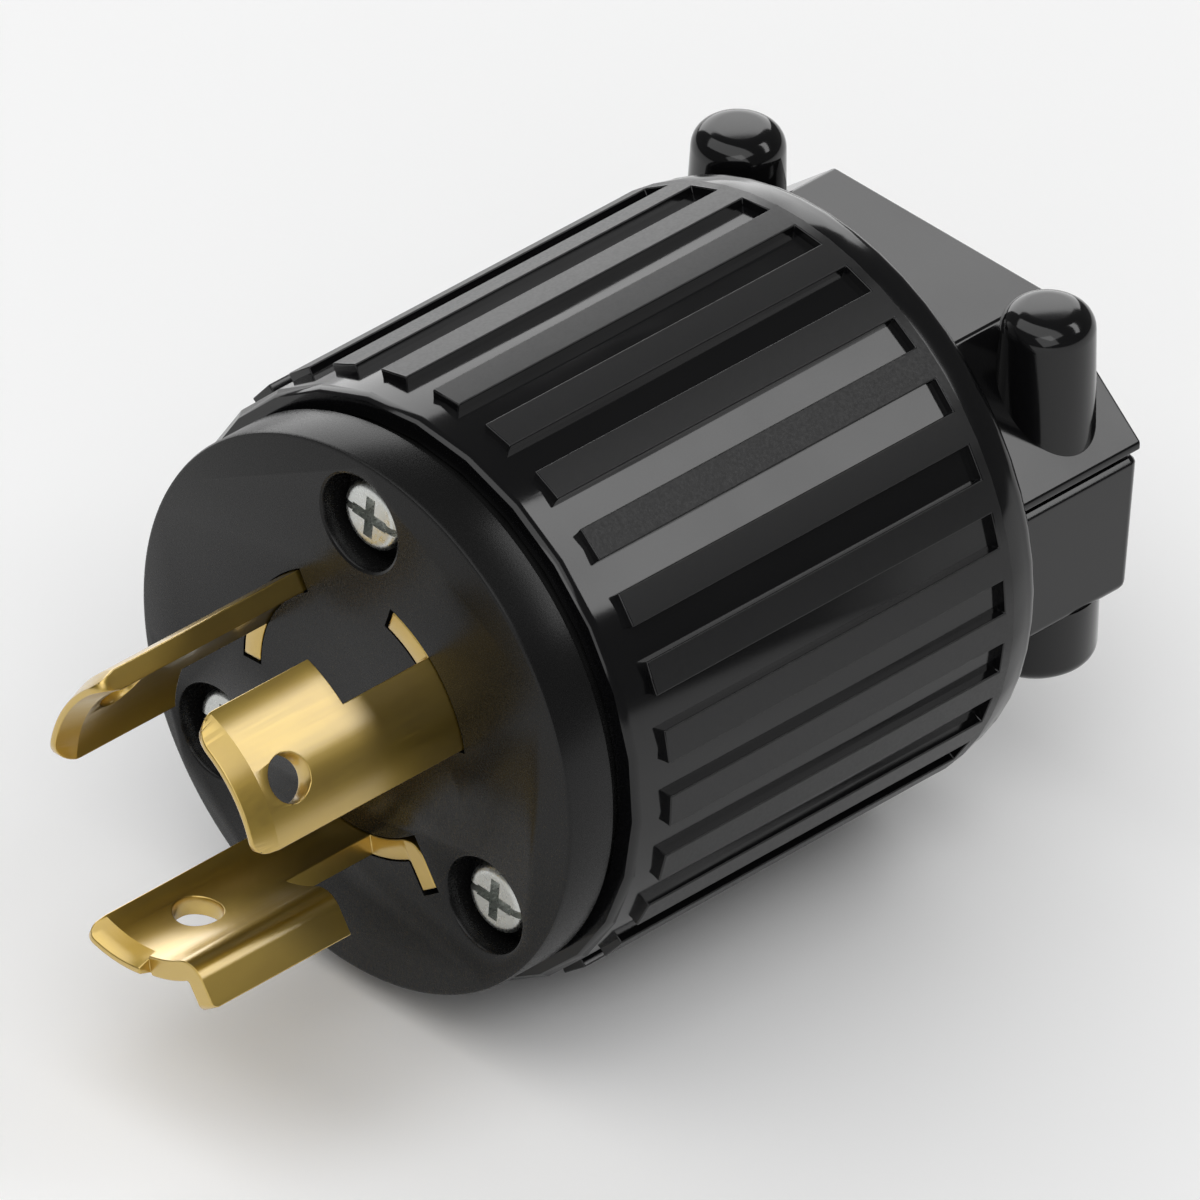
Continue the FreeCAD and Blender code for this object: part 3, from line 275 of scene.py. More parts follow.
def drawn(name, sides, rings, axis="Y", at=(0.0, 0.0, 0.0), turned=0.0, tube=False):
    """A round or many-sided body: a ring of corners extruded and resized from station to station.

    The rings are (place along the axis, radius); a tube's last ring meets its first."""
    only(None)
    along = Vector((0, 1, 0)) if axis == "Y" else Vector((0, 0, 1))
    tilt = (math.radians(90), turned, 0) if axis == "Y" else (0, 0, turned)
    base = Vector(at)
    bpy.ops.mesh.primitive_circle_add(vertices=sides, radius=rings[0][1], fill_type="NOTHING",
                                      location=base + along * rings[0][0], rotation=tilt)
    piece = finish_piece(bpy.context.object, name)
    bpy.ops.object.mode_set(mode="EDIT")
    bpy.ops.mesh.select_mode(type="VERT")
    bpy.ops.mesh.select_all(action="SELECT")
    if not tube:
        bpy.ops.mesh.edge_face_add()
        bpy.ops.mesh.select_all(action="SELECT")
    path = rings[1:] + (rings[:1] if tube else [])
    place, radius = rings[0]
    for next_place, next_radius in path:
        bpy.ops.mesh.extrude_region_move(
            TRANSFORM_OT_translate={"value": along * (next_place - place)})
        wide = next_radius / radius
        grow = (wide, 1, wide) if axis == "Y" else (wide, wide, 1)
        bpy.ops.transform.resize(value=grow, center_override=base + along * next_place)
        place, radius = next_place, next_radius
    bpy.ops.mesh.select_all(action="SELECT")
    bpy.ops.mesh.remove_doubles(threshold=MERGE)
    bpy.ops.mesh.normals_make_consistent(inside=False)
    bpy.ops.object.mode_set(mode="OBJECT")
    return piece


def block(name, low, high):
    """A box between two corners."""
    only(None)
    low, high = Vector(low), Vector(high)
    bpy.ops.mesh.primitive_cube_add(size=1, location=(low + high) / 2)
    bpy.context.object.scale = high - low
    return finish_piece(bpy.context.object, name)


def dress(piece, material, *nodes, slot_name):
    """Gives a piece its material and the body it rides on; slot_name is not used."""
    piece.data.materials.clear()
    piece.data.materials.append(material)
    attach(piece, "root")
    if nodes:
        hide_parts(*nodes)
    return piece


def quarter(steps):
    """Angles of a quarter turn, in even steps."""
    return [math.radians(90 / steps * i) for i in range(steps + 1)]


def eased(piece, width, segments, angle, held=False):
    """Rounds the edges that turn by more than an angle in degrees; held keeps them from overlapping."""
    return with_modifier(piece, "BEVEL", width=width, segments=segments, limit_method="ANGLE",
                         angle_limit=math.radians(angle), use_clamp_overlap=held)


def even_shading(piece):
    """Smooth shading that leaves the flats flat and the marked edges sharp."""
    only(piece)
    bpy.ops.object.shade_smooth(keep_sharp_edges=True)
    return with_modifier(piece, "WEIGHTED_NORMAL", keep_sharp=True, weight=80)


def round_shading(piece, angle=32):
    """Smooth shading over a turned piece, with the edges over an angle in degrees left sharp."""
    only(piece)
    bpy.ops.object.shade_smooth_by_angle(angle=math.radians(angle))
    return piece


def crisp_facets(piece):
    """Keeps the flats along the barrel apart and rounds the shading over the eased edges."""
    least, most, square = (math.radians(v) for v in (3, 16, 50))

    def facet_edge(edge):
        run, angle = edge.verts[1].co - edge.verts[0].co, edge.calc_face_angle(0)
        along = run.length > 1e-7 and abs(run.y) > 0.99 * run.length
        return angle > square or (along and least < angle < most)

    only(piece)
    bpy.ops.object.mode_set(mode="EDIT")
    pick("EDGE", facet_edge)
    bpy.ops.mesh.mark_sharp()
    bpy.ops.object.mode_set(mode="OBJECT")
    return even_shading(piece)


# Materials

def add(tree, kind, links=None, **settings):
    """Adds a node with its settings; links holds values or sockets for its inputs."""
    node = tree.nodes.new(kind)
    for key, value in settings.items():
        setattr(node, key, value)
    for socket, value in (links or {}).items():
        if isinstance(value, bpy.types.NodeSocket):
            tree.links.new(value, node.inputs[socket])
        else:
            node.inputs[socket].default_value = value
    return node


def new_material(name):
    """A material with its node tree and shader, or the one made before with neither."""
    found = bpy.data.materials.get(name)
    if found:
        return found, None, None
    material = bpy.data.materials.new(name)
    material.use_nodes = True
    tree = material.node_tree
    return material, tree, tree.nodes["Principled BSDF"]


def per_mm(size):
    """Texture scale at which one cell is about this many millimetres wide."""
    return 1 / (size * MM)


def opaque(rgb):
    """A colour with its fourth value, as the sockets want it."""
    return (*rgb, 1.0)


def gloss_nylon():
    """Injection-moulded nylon from a polished mould: deep black, clear reflections, a faint waviness.

    The waviness is that of a shrunk wall, about 9 mm wide; the fine grain is drawn 0.35 mm wide, coarser
    than the real one, so that it shows."""
    material, tree, shader = new_material("gloss_black_nylon")
    if tree is None:
        return material
    place = add(tree, "ShaderNodeTexCoord").outputs["Object"]
    flow = add(tree, "ShaderNodeTexNoise", {"Vector": place, "Scale": per_mm(9), "Detail": 3.0})
    grain = add(tree, "ShaderNodeTexNoise", {"Vector": place, "Scale": per_mm(0.35), "Detail": 2.0})
    rough = add(tree, "ShaderNodeMapRange", {"Value": flow.outputs["Fac"], "From Min": 0.3, "From Max": 0.7,
                                             "To Min": 0.09, "To Max": 0.14})
    wave = add(tree, "ShaderNodeBump", {"Height": flow.outputs["Fac"], "Strength": 0.25,
                                        "Distance": 0.01 * MM})
    skin = add(tree, "ShaderNodeBump", {"Height": grain.outputs["Fac"], "Strength": 0.3,
                                        "Distance": 0.002 * MM, "Normal": wave.outputs["Normal"]})
    shader.inputs["Base Color"].default_value = opaque(sizes("colours").gloss_nylon)
    shader.inputs["IOR"].default_value = 1.45
    tree.links.new(rough.outputs["Result"], shader.inputs["Roughness"])
    tree.links.new(skin.outputs["Normal"], shader.inputs["Normal"])
    return material


def satin_nylon():
    """The same nylon where the mould was blasted, so that the ribs grip: an even, duller sheen.

    The grit is about 0.1 mm and drawn at 0.25 mm, about three of the picture's pixels, so that it shows."""
    material, tree, shader = new_material("satin_black_nylon")
    if tree is None:
        return material
    place = add(tree, "ShaderNodeTexCoord").outputs["Object"]
    grain = add(tree, "ShaderNodeTexNoise", {"Vector": place, "Scale": per_mm(0.25), "Detail": 2.0})
    rough = add(tree, "ShaderNodeMapRange", {"Value": grain.outputs["Fac"], "From Min": 0.3, "From Max": 0.7,
                                             "To Min": 0.36, "To Max": 0.44})
    bump = add(tree, "ShaderNodeBump", {"Height": grain.outputs["Fac"], "Strength": 0.3,
                                        "Distance": 0.004 * MM})
    shader.inputs["Base Color"].default_value = opaque(sizes("colours").gloss_nylon)
    shader.inputs["IOR"].default_value = 1.45
    tree.links.new(rough.outputs["Result"], shader.inputs["Roughness"])
    tree.links.new(bump.outputs["Normal"], shader.inputs["Normal"])
    return material


def matte_nylon():
    """Nylon from a spark-eroded mould: a fine even grain that spreads the light.

    The grain is about 0.05 mm and drawn at 0.16 mm, near two of the picture's pixels, so that it shows."""
    material, tree, shader = new_material("matte_black_nylon")
    if tree is None:
        return material
    place = add(tree, "ShaderNodeTexCoord").outputs["Object"]
    grain = add(tree, "ShaderNodeTexNoise", {"Vector": place, "Scale": per_mm(0.16), "Detail": 3.0})
    cloud = add(tree, "ShaderNodeTexNoise", {"Vector": place, "Scale": per_mm(6), "Detail": 2.0})
    tint = add(tree, "ShaderNodeMapRange", {"Value": cloud.outputs["Fac"], "From Min": 0.3, "From Max": 0.7,
                                            "To Min": 0.92, "To Max": 1.08})
    shade = add(tree, "ShaderNodeMix", {"Factor": 1.0, 6: opaque(sizes("colours").matte_nylon),
                                        7: tint.outputs["Result"]}, data_type="RGBA", blend_type="MULTIPLY")
    rough = add(tree, "ShaderNodeMapRange", {"Value": grain.outputs["Fac"], "From Min": 0.3, "From Max": 0.7,
                                             "To Min": 0.24, "To Max": 0.3})
    bump = add(tree, "ShaderNodeBump", {"Height": grain.outputs["Fac"], "Strength": 0.35,
                                        "Distance": 0.012 * MM})
    shader.inputs["IOR"].default_value = 1.5
    shader.inputs["Specular IOR Level"].default_value = 0.25
    tree.links.new(shade.outputs[2], shader.inputs["Base Color"])
    tree.links.new(rough.outputs["Result"], shader.inputs["Roughness"])
    tree.links.new(bump.outputs["Normal"], shader.inputs["Normal"])
    return material


def rolled_brass():
    """Half-hard brass strip: satin, with fine rolling lines along the blade and a little tarnish.

    A thin clear coat turns its highlights pale, as on tumbled and waxed strip. The rolling lines are
    finer than 0.05 mm and drawn 0.22 mm apart, so that they show."""
    material, tree, shader = new_material("rolled_brass")
    if tree is None:
        return material
    place = add(tree, "ShaderNodeTexCoord").outputs["Object"]
    across = add(tree, "ShaderNodeMapping", {"Vector": place, "Scale": (1.0, 0.03, 1.0)})
    lines = add(tree, "ShaderNodeTexNoise", {"Vector": across.outputs["Vector"], "Scale": per_mm(0.22),
                                             "Detail": 4.0})
    cloud = add(tree, "ShaderNodeTexNoise", {"Vector": place, "Scale": per_mm(5), "Detail": 4.0})
    stain = add(tree, "ShaderNodeMapRange", {"Value": cloud.outputs["Fac"], "From Min": 0.45,
                                             "From Max": 0.75, "To Min": 0.0, "To Max": 0.5})
    chosen = sizes("colours")
    tone = add(tree, "ShaderNodeMix", {"Factor": stain.outputs["Result"], 6: opaque(chosen.brass),
                                       7: opaque(chosen.brass_dark)}, data_type="RGBA")
    rough = add(tree, "ShaderNodeMapRange", {"Value": lines.outputs["Fac"], "From Min": 0.3, "From Max": 0.7,
                                             "To Min": 0.33, "To Max": 0.39})
    bump = add(tree, "ShaderNodeBump", {"Height": lines.outputs["Fac"], "Strength": 0.1,
                                        "Distance": 0.003 * MM})
    shader.inputs["Metallic"].default_value = 1.0
    shader.inputs["Coat Weight"].default_value = 1.0
    shader.inputs["Coat Roughness"].default_value = 0.22
    shader.inputs["Coat IOR"].default_value = 1.9
    tree.links.new(tone.outputs[2], shader.inputs["Base Color"])
    tree.links.new(rough.outputs["Result"], shader.inputs["Roughness"])
    tree.links.new(bump.outputs["Normal"], shader.inputs["Normal"])
    return material


def zinc_plate():
    """Steel with bright zinc: pale, slightly blue, with a fine crystalline unevenness.

    The crystals are about 0.05 mm and drawn at 0.3 mm, so that they show."""
    material, tree, shader = new_material("bright_zinc_on_steel")
    if tree is None:
        return material
    place = add(tree, "ShaderNodeTexCoord").outputs["Object"]
    grain = add(tree, "ShaderNodeTexNoise", {"Vector": place, "Scale": per_mm(0.3), "Detail": 4.0})
    rough = add(tree, "ShaderNodeMapRange", {"Value": grain.outputs["Fac"], "From Min": 0.3, "From Max": 0.7,
                                             "To Min": 0.22, "To Max": 0.38})
    bump = add(tree, "ShaderNodeBump", {"Height": grain.outputs["Fac"], "Strength": 0.3,
                                        "Distance": 0.01 * MM})
    shader.inputs["Base Color"].default_value = opaque(sizes("colours").zinc)
    shader.inputs["Metallic"].default_value = 1.0
    tree.links.new(rough.outputs["Result"], shader.inputs["Roughness"])
    tree.links.new(bump.outputs["Normal"], shader.inputs["Normal"])
    return material


def plain_inner(name, code, rough_low, rough_high, metallic=0.0, cell=0.4):
    """An inner piece's plain moulded or turned surface; its fine grain is drawn coarser, so that it shows."""
    material, tree, shader = new_material(name)
    if tree is None:
        return material
    place = add(tree, "ShaderNodeTexCoord").outputs["Object"]
    grain = add(tree, "ShaderNodeTexNoise", {"Vector": place, "Scale": per_mm(cell), "Detail": 3.0})
    rough = add(tree, "ShaderNodeMapRange", {"Value": grain.outputs["Fac"], "From Min": 0.3, "From Max": 0.7,
                                             "To Min": rough_low, "To Max": rough_high})
    bump = add(tree, "ShaderNodeBump", {"Height": grain.outputs["Fac"], "Strength": 0.3,
                                        "Distance": 0.01 * MM})
    shader.inputs["Base Color"].default_value = opaque(linear(code))
    shader.inputs["Metallic"].default_value = metallic
    tree.links.new(rough.outputs["Result"], shader.inputs["Roughness"])
    tree.links.new(bump.outputs["Normal"], shader.inputs["Normal"])
    return material


# Pieces

def ridged_cutter(name, start, stop):
    """The cord's channel with its gripping ridges, as a tool to cut with."""
    clamp = sizes("clamp")
    first, space, step, slope = 49.9 * MM, 3.3 * MM, 4.2 * MM, 0.05 * MM
    rings = [(start, clamp.grip)]
    for i in range(3):
        low, high = first + i * step, first + i * step + space
        rings += [(low, clamp.grip), (low + slope, clamp.channel), (high - slope, clamp.channel),
                  (high, clamp.grip)]
    rings.append((stop, clamp.grip))
    return drawn(name, 48, rings, at=(0, 0, clamp.cord_height))


class PLUG_OT_shell(bpy.types.Operator):
    """Ribbed barrel of the shell with its back wall"""
    bl_idname = "plug.shell"
    bl_label = "Ribbed shell"

    def execute(self, context):
        shell, clamp = sizes("shell"), sizes("clamp")
        ribs = shell.rib_count
        half = math.pi / ribs
        rib = shell.rib_flat / math.cos(half / 2)
        barrel = rib - shell.rib_rise
        mouth = shell.mouth / math.cos(half)
        lip_drop, lip_run, overlap = 0.45 * MM, 0.65 * MM, 0.6 * MM
        seat, core_end = shell.front + MOUTH_SEAT, shell.rib_back + 1.5 * MM
        core = drawn("shell_core", ribs, [
            (shell.front, mouth), (shell.front, barrel - lip_drop), (shell.front + lip_run, barrel),
            (core_end, barrel), (core_end, shell.bore), (seat, shell.bore), (seat, mouth)], tube=True)
        crisp_facets(core)

        rim = [(shell.rim_bend + (shell.back - shell.rim_bend) * math.sin(a),
                rib - shell.rim_taper - shell.rim_drop * (1 - math.cos(a))) for a in quarter(6)]
        outer = drawn("shell_ribs", 2 * ribs, [
            (core_end, barrel - overlap), (shell.rib_front, barrel - overlap), (shell.rib_front, rib),
            (shell.rim_start, rib)] + rim, turned=half / 2)
        width, sunk = 2 * rib * math.sin(half / 2) + 0.01 * MM, 0.4 * MM
        gap = block("gap", (-width / 2, shell.rib_front - PAST, barrel - sunk),
                    (width / 2, shell.rib_back, rib + 2 * PAST))
        gaps = copies(gap, [((0, 0, 0), (0, half + 2 * half * i, 0)) for i in range(ribs)])
        cord_way = drawn("cord_way", 64, [(core_end - PAST, clamp.grip), (shell.back + PAST, clamp.grip)],
                         at=(0, 0, clamp.cord_height))
        outer = eased(cut(outer, join("gaps", gaps), cord_way), shell.edge, 2, 50)
        crisp_facets(outer)
        piece = join("shell_barrel", [core, outer])
        dress(piece, gloss_nylon(), "shell", slot_name="shell_plastic")
        piece.data.materials.append(satin_nylon())
        only(piece)
        bpy.ops.object.mode_set(mode="EDIT")
        nearly_out = shell.rib_flat - 0.05 * MM

        def rib_top(face):
            centre = face.calc_center_median()
            return abs(face.normal.y) < 0.3 and Vector((centre.x, centre.z)).length > nearly_out

        pick("FACE", rib_top)
        piece.active_material_index = 1
        bpy.ops.object.material_slot_assign()
        bpy.ops.object.mode_set(mode="OBJECT")
        return {"FINISHED"}


class PLUG_OT_saddle(bpy.types.Operator):
    """Lower half of the cord clamp, in one with the shell, and its bosses"""
    bl_idname = "plug.saddle"
    bl_label = "Lower clamp half"

    def execute(self, context):
        shell, clamp = sizes("shell"), sizes("clamp")
        top, low = clamp.saddle_top, clamp.saddle_top - clamp.saddle_depth
        root, side_draft, end_draft, near = 1.6 * MM, 0.985, 0.98, 0.01 * MM
        saddle = block("saddle", (-clamp.half_width, shell.back - root, low),
                       (clamp.half_width, clamp.end, top))
        only(saddle)
        bpy.ops.object.mode_set(mode="EDIT")
        pick("FACE", lambda face: face.normal.z < -0.9)
        bpy.ops.transform.resize(value=(side_draft, end_draft, 1), center_override=(0, shell.back, low))

        def outer_edge(edge):
            ends = [corner.co for corner in edge.verts]
            upright = abs(ends[0].z - ends[1].z) > clamp.saddle_depth / 2
            at_end = all(end.y > clamp.end - 1 * MM for end in ends)
            return all(abs(end.z - low) < near for end in ends) or (at_end and upright)

        pick("EDGE", outer_edge)
        bpy.ops.mesh.bevel(offset=0.9 * MM, segments=4, profile=0.5)
        pick("EDGE", lambda edge: all(abs(corner.co.z - top) < near for corner in edge.verts))
        bpy.ops.mesh.bevel(offset=0.45 * MM, segments=1)
        bpy.ops.object.mode_set(mode="OBJECT")
        cut(saddle, ridged_cutter("channel_cut", shell.back - 5 * PAST, clamp.end + PAST))
        even_shading(eased(saddle, 0.1 * MM, 1, 40, held=True))

        foot, inside, wide, bend = -clamp.low_boss_drop, low + 0.5 * MM, clamp.low_boss_radius, 1.2 * MM
        recess, recess_depth, recess_ease, screw_way = 3.95 * MM, 3.8 * MM, 0.15 * MM, 2.15 * MM
        rings = [(inside, wide)] + [(foot + bend * (1 - math.sin(a)), wide - bend * (1 - math.cos(a)))
                                    for a in quarter(6)]
        rings += [(foot, recess + recess_ease), (foot + recess_ease, recess), (foot + recess_depth, recess),
                  (foot + recess_depth, screw_way), (inside, screw_way)]
        boss = round_shading(drawn("boss", 64, rings, axis="Z", at=(-clamp.screw_x, clamp.screw_y, 0),
                                   tube=True))
        pieces = [saddle] + copies(boss, [((aside, 0, 0), (0, 0, 0)) for aside in (0, 2 * clamp.screw_x)])
        piece = join("clamp_saddle", pieces)
        dress(piece, gloss_nylon(), "shell", slot_name="shell_plastic")
        return {"FINISHED"}


class PLUG_OT_jaw(bpy.types.Operator):
    """Upper half of the cord clamp with its tall bosses"""
    bl_idname = "plug.jaw"
    bl_label = "Upper clamp half"

    def execute(self, context):
        clamp = sizes("clamp")
        lip = clamp.jaw_low + clamp.jaw_lip
        jaw = block("jaw", (-clamp.half_width, clamp.jaw_front, clamp.jaw_low),
                    (clamp.half_width, clamp.end, lip))
        only(jaw)
        bpy.ops.object.mode_set(mode="EDIT")
        pick("FACE", lambda face: face.normal.z > 0.9)
        bpy.ops.mesh.extrude_region_move(TRANSFORM_OT_translate={"value": (0, 0, clamp.jaw_top - lip)})
        bpy.ops.transform.resize(value=(clamp.jaw_top_half / clamp.half_width, 1, 1),
                                 center_override=(0, clamp.jaw_front, clamp.jaw_top))
        bpy.ops.object.mode_set(mode="OBJECT")
        eased(jaw, 0.22 * MM, 3, 20, held=True)
        cut(jaw, ridged_cutter("channel_cut", clamp.jaw_front - PAST, clamp.end + PAST))
        even_shading(jaw)
        top, radius, bend = clamp.tall_top, clamp.tall_radius, clamp.tall_round
        dome = [(top - bend * (1 - math.sin(a)), radius - bend * (1 - math.cos(a))) for a in quarter(8)]
        boss = round_shading(drawn("boss", 72, [(lip, radius + clamp.tall_draft)] + dome, axis="Z",
                                   at=(-clamp.screw_x, clamp.screw_y, 0)))
        pieces = [jaw] + copies(boss, [((aside, 0, 0), (0, 0, 0)) for aside in (0, 2 * clamp.screw_x)])
        piece = join("clamp_jaw", pieces)
        dress(piece, gloss_nylon(), "cord_clamp", slot_name="shell_plastic")
        return {"FINISHED"}


def sector(name, inner, outer, start, arc, front, back, slants=()):
    """A curved bar round the plug's axis, spun from an upright face.

    Each slant is a point and a direction in that face, which loses what lies in that direction."""
    only(None)
    bpy.ops.mesh.primitive_plane_add(size=1, location=((inner + outer) / 2, (front + back) / 2, 0))
    bpy.context.object.scale = (outer - inner, back - front, 1)
    bar = finish_piece(bpy.context.object, name)
    bpy.ops.object.mode_set(mode="EDIT")
    for point, direction in slants:
        bpy.ops.mesh.select_all(action="SELECT")
        bpy.ops.mesh.bisect(plane_co=(*point, 0), plane_no=(*Vector(direction).normalized(), 0),
                            threshold=MERGE, clear_outer=True)
    bpy.ops.object.mode_set(mode="OBJECT")
    bar.rotation_euler.y = -start
    finish_piece(bar, name)
    bpy.ops.object.mode_set(mode="EDIT")
    bpy.ops.mesh.select_all(action="SELECT")
    steps = max(4, round(arc / FACET))
    bpy.ops.mesh.spin(steps=steps, angle=arc, center=(0, 0, 0), axis=(0, 1, 0))
    bpy.ops.mesh.select_all(action="SELECT")
    bpy.ops.mesh.normals_make_consistent(inside=False)
    bpy.ops.object.mode_set(mode="OBJECT")
    return bar


def blade_rows():
    """Start, neck and notch of each blade."""
    blades = sizes("blades")
    return [("line_blade_x", blades.right_start, blades.line_neck, blades.line_notch),
            ("line_blade_y", blades.left_start, blades.line_neck, blades.line_notch),
            ("ground_blade", blades.ground_start, blades.ground_neck, blades.ground_notch)]


def screw_places():
    """Places of the three face screws across the plug."""
    face = sizes("face")
    return [(face.screw_circle * math.cos(a), face.screw_circle * math.sin(a))
            for a in (face.screw_a, face.screw_b, face.screw_c)]


class PLUG_OT_face(bpy.types.Operator):
    """Face disc with its counterbores and the blades' slots"""
    bl_idname = "plug.face"
    bl_label = "Face"

    def execute(self, context):
        face, blades = sizes("face"), sizes("blades")
        back, bevel, ease = SHELL_LOW.y + MOUTH_SEAT, face.bevel, 0.1 * MM
        piece = drawn("face_disc", 192, [
            (0, face.radius - bevel), (bevel * 0.3, face.radius - bevel * 0.3), (bevel, face.radius),
            (face.band - ease, face.radius), (face.band, face.radius - ease), (face.band, face.neck),
            (back, face.neck)])
        wide, bevel = face.sink_radius, face.sink_bevel
        for x, z in screw_places():
            cut(piece, drawn("sink", 64, [
                (-PAST, wide + bevel), (0, wide + bevel), (bevel * 0.35, wide + bevel * 0.35), (bevel, wide),
                (face.sink_depth, wide)], at=(x, 0, z)))
        end_room, slot_depth, leg_room = math.radians(1.5), 4 * MM, 0.4 * MM
        inner = blades.outer - blades.thickness - blades.slot_gap
        outer = blades.outer + blades.slot_gap
        for _, start, neck, notch in blade_rows():
            cut(piece, sector("slot", inner, outer, start - end_room, neck + notch + 2 * end_room, -PAST,
                              slot_depth))
        thick = blades.thickness / 2 + blades.slot_gap
        leg = block("leg_slot", (inner, -PAST, -thick), (blades.leg_out + leg_room, slot_depth, thick))
        leg.rotation_euler.y = -(blades.ground_start + blades.ground_neck + blades.ground_notch)
        cut(piece, finish_piece(leg, "leg_slot"))
        round_shading(piece, 30)
        dress(piece, matte_nylon(), "front_body", slot_name="face_plastic")
        return {"FINISHED"}


def stood_out(tool, angle):
    """Turns a tool made along +Z so that it stands out from the plug's axis at an angle."""
    tool.rotation_euler.y = math.pi / 2 - angle
    return finish_piece(tool, tool.name)


def radial_hole(radius, reach, angle):
    """A drill through a blade at a distance along the plug and an angle round it."""
    drill = drawn("drill", 48, [(DRILL_IN, radius), (DRILL_OUT, radius)], axis="Z", at=(0, reach, 0))
    return stood_out(drill, angle)


def corner_tool(radius, tip, angle, inward):
    """What a rounded corner at a blade's tip loses: a block less a cylinder, at an angle round the plug."""
    left, right = sorted((inward * radius, -inward * PAST))
    tool = block("corner", (left, tip - PAST, DRILL_IN), (right, tip + radius, DRILL_OUT))
    core = drawn("core", 64, [(DRILL_IN - PAST, radius), (DRILL_OUT + PAST, radius)], axis="Z",
                 at=(inward * radius, tip + radius, 0))
    return stood_out(cut(tool, core), angle)


def tip_slants(inner, outer, tip):
    """The two slants that thin a blade's tip, on its outer and on its inner side."""
    blades = sizes("blades")
    return [((rim, tip + blades.tip_run), (side * blades.tip_run, -blades.tip_drop))
            for rim, side in ((outer, 1), (inner, -1))]


def sideways(angle):
    """The direction that a blade's end looks in, at an angle round the plug's axis."""
    return Vector((-math.sin(angle), 0, math.cos(angle)))


def pick_end(angle, front=-math.inf, back=math.inf):
    """Picks a curved bar's end faces at an angle round the plug's axis, between two places along it."""
    side, near = sideways(angle), 0.003 * MM
    pick("FACE", lambda face: front < face.calc_center_median().y < back
         and abs(face.normal.dot(side)) > 0.99 and abs(face.calc_center_median().dot(side)) < near)


def add_ears(piece, start, end):
    """Small ears at both sides of a blade, which hold it in the carrier."""
    front, back, reach = 10.5 * MM, 12 * MM, math.radians(4)
    only(piece)
    bpy.ops.object.mode_set(mode="EDIT")
    for place in (front, back):
        bpy.ops.mesh.select_all(action="SELECT")
        bpy.ops.mesh.bisect(plane_co=(0, place, 0), plane_no=(0, 1, 0), threshold=MERGE)
    for angle, turned in ((start, -reach), (end, reach)):
        pick_end(angle, front, back)
        bpy.ops.mesh.spin(steps=2, angle=abs(turned), center=(0, 0, 0), axis=(0, math.copysign(1, turned), 0))
    bpy.ops.mesh.select_all(action="SELECT")
    bpy.ops.mesh.normals_make_consistent(inside=False)
    bpy.ops.object.mode_set(mode="OBJECT")
    return piece


def tumbled(piece):
    """Keeps the tip bevels crisp and eases a blade's edges as tumbling does."""
    slight, strong = math.radians(12), math.radians(28)
    only(piece)
    bpy.ops.object.mode_set(mode="EDIT")
    bpy.ops.mesh.select_all(action="SELECT")
    bpy.ops.mesh.remove_doubles(threshold=0.02 * MM)
    pick("EDGE", lambda edge: slight < edge.calc_face_angle(0) < strong)
    bpy.ops.mesh.mark_sharp()
    bpy.ops.object.mode_set(mode="OBJECT")
    return even_shading(eased(piece, sizes("blades").edge, 2, 28))


def dress_blade(piece, name):
    """Names a finished blade and gives it its brass."""
    return dress(finish_piece(piece, name + "_strip"), rolled_brass(), name, slot_name="blade_brass")


class PLUG_OT_line_blades(bpy.types.Operator):
    """The two line blades, which are alike"""
    bl_idname = "plug.line_blades"
    bl_label = "Line blades"

    def execute(self, context):
        blades = sizes("blades")
        outer, inner, tip = blades.outer, blades.outer - blades.thickness, -blades.line_reach
        rows = blade_rows()[:2]
        _, start, neck, notch = rows[0]
        end = start + neck + notch
        blade = sector("line_blade", inner, outer, start, neck + notch, tip, blades.root,
                       tip_slants(inner, outer, tip))
        cut(blade, sector("notch", inner - PAST, outer + PAST, start + neck, notch + math.radians(1),
                          -blades.notch, 0),
            corner_tool(blades.corner, tip, start, -1), corner_tool(blades.notch_corner, tip, end, 1),
            radial_hole(blades.hole, -blades.hole_reach, start + blades.line_hole),
            radial_hole(blades.terminal_hole, blades.terminal_place, (start + end) / 2))
        blade = tumbled(add_ears(blade, start, end))
        turned = [((0, 0, 0), (0, start - row[1], 0)) for row in rows]
        for piece, row in zip(copies(blade, turned), rows):
            dress_blade(piece, row[0])
        return {"FINISHED"}


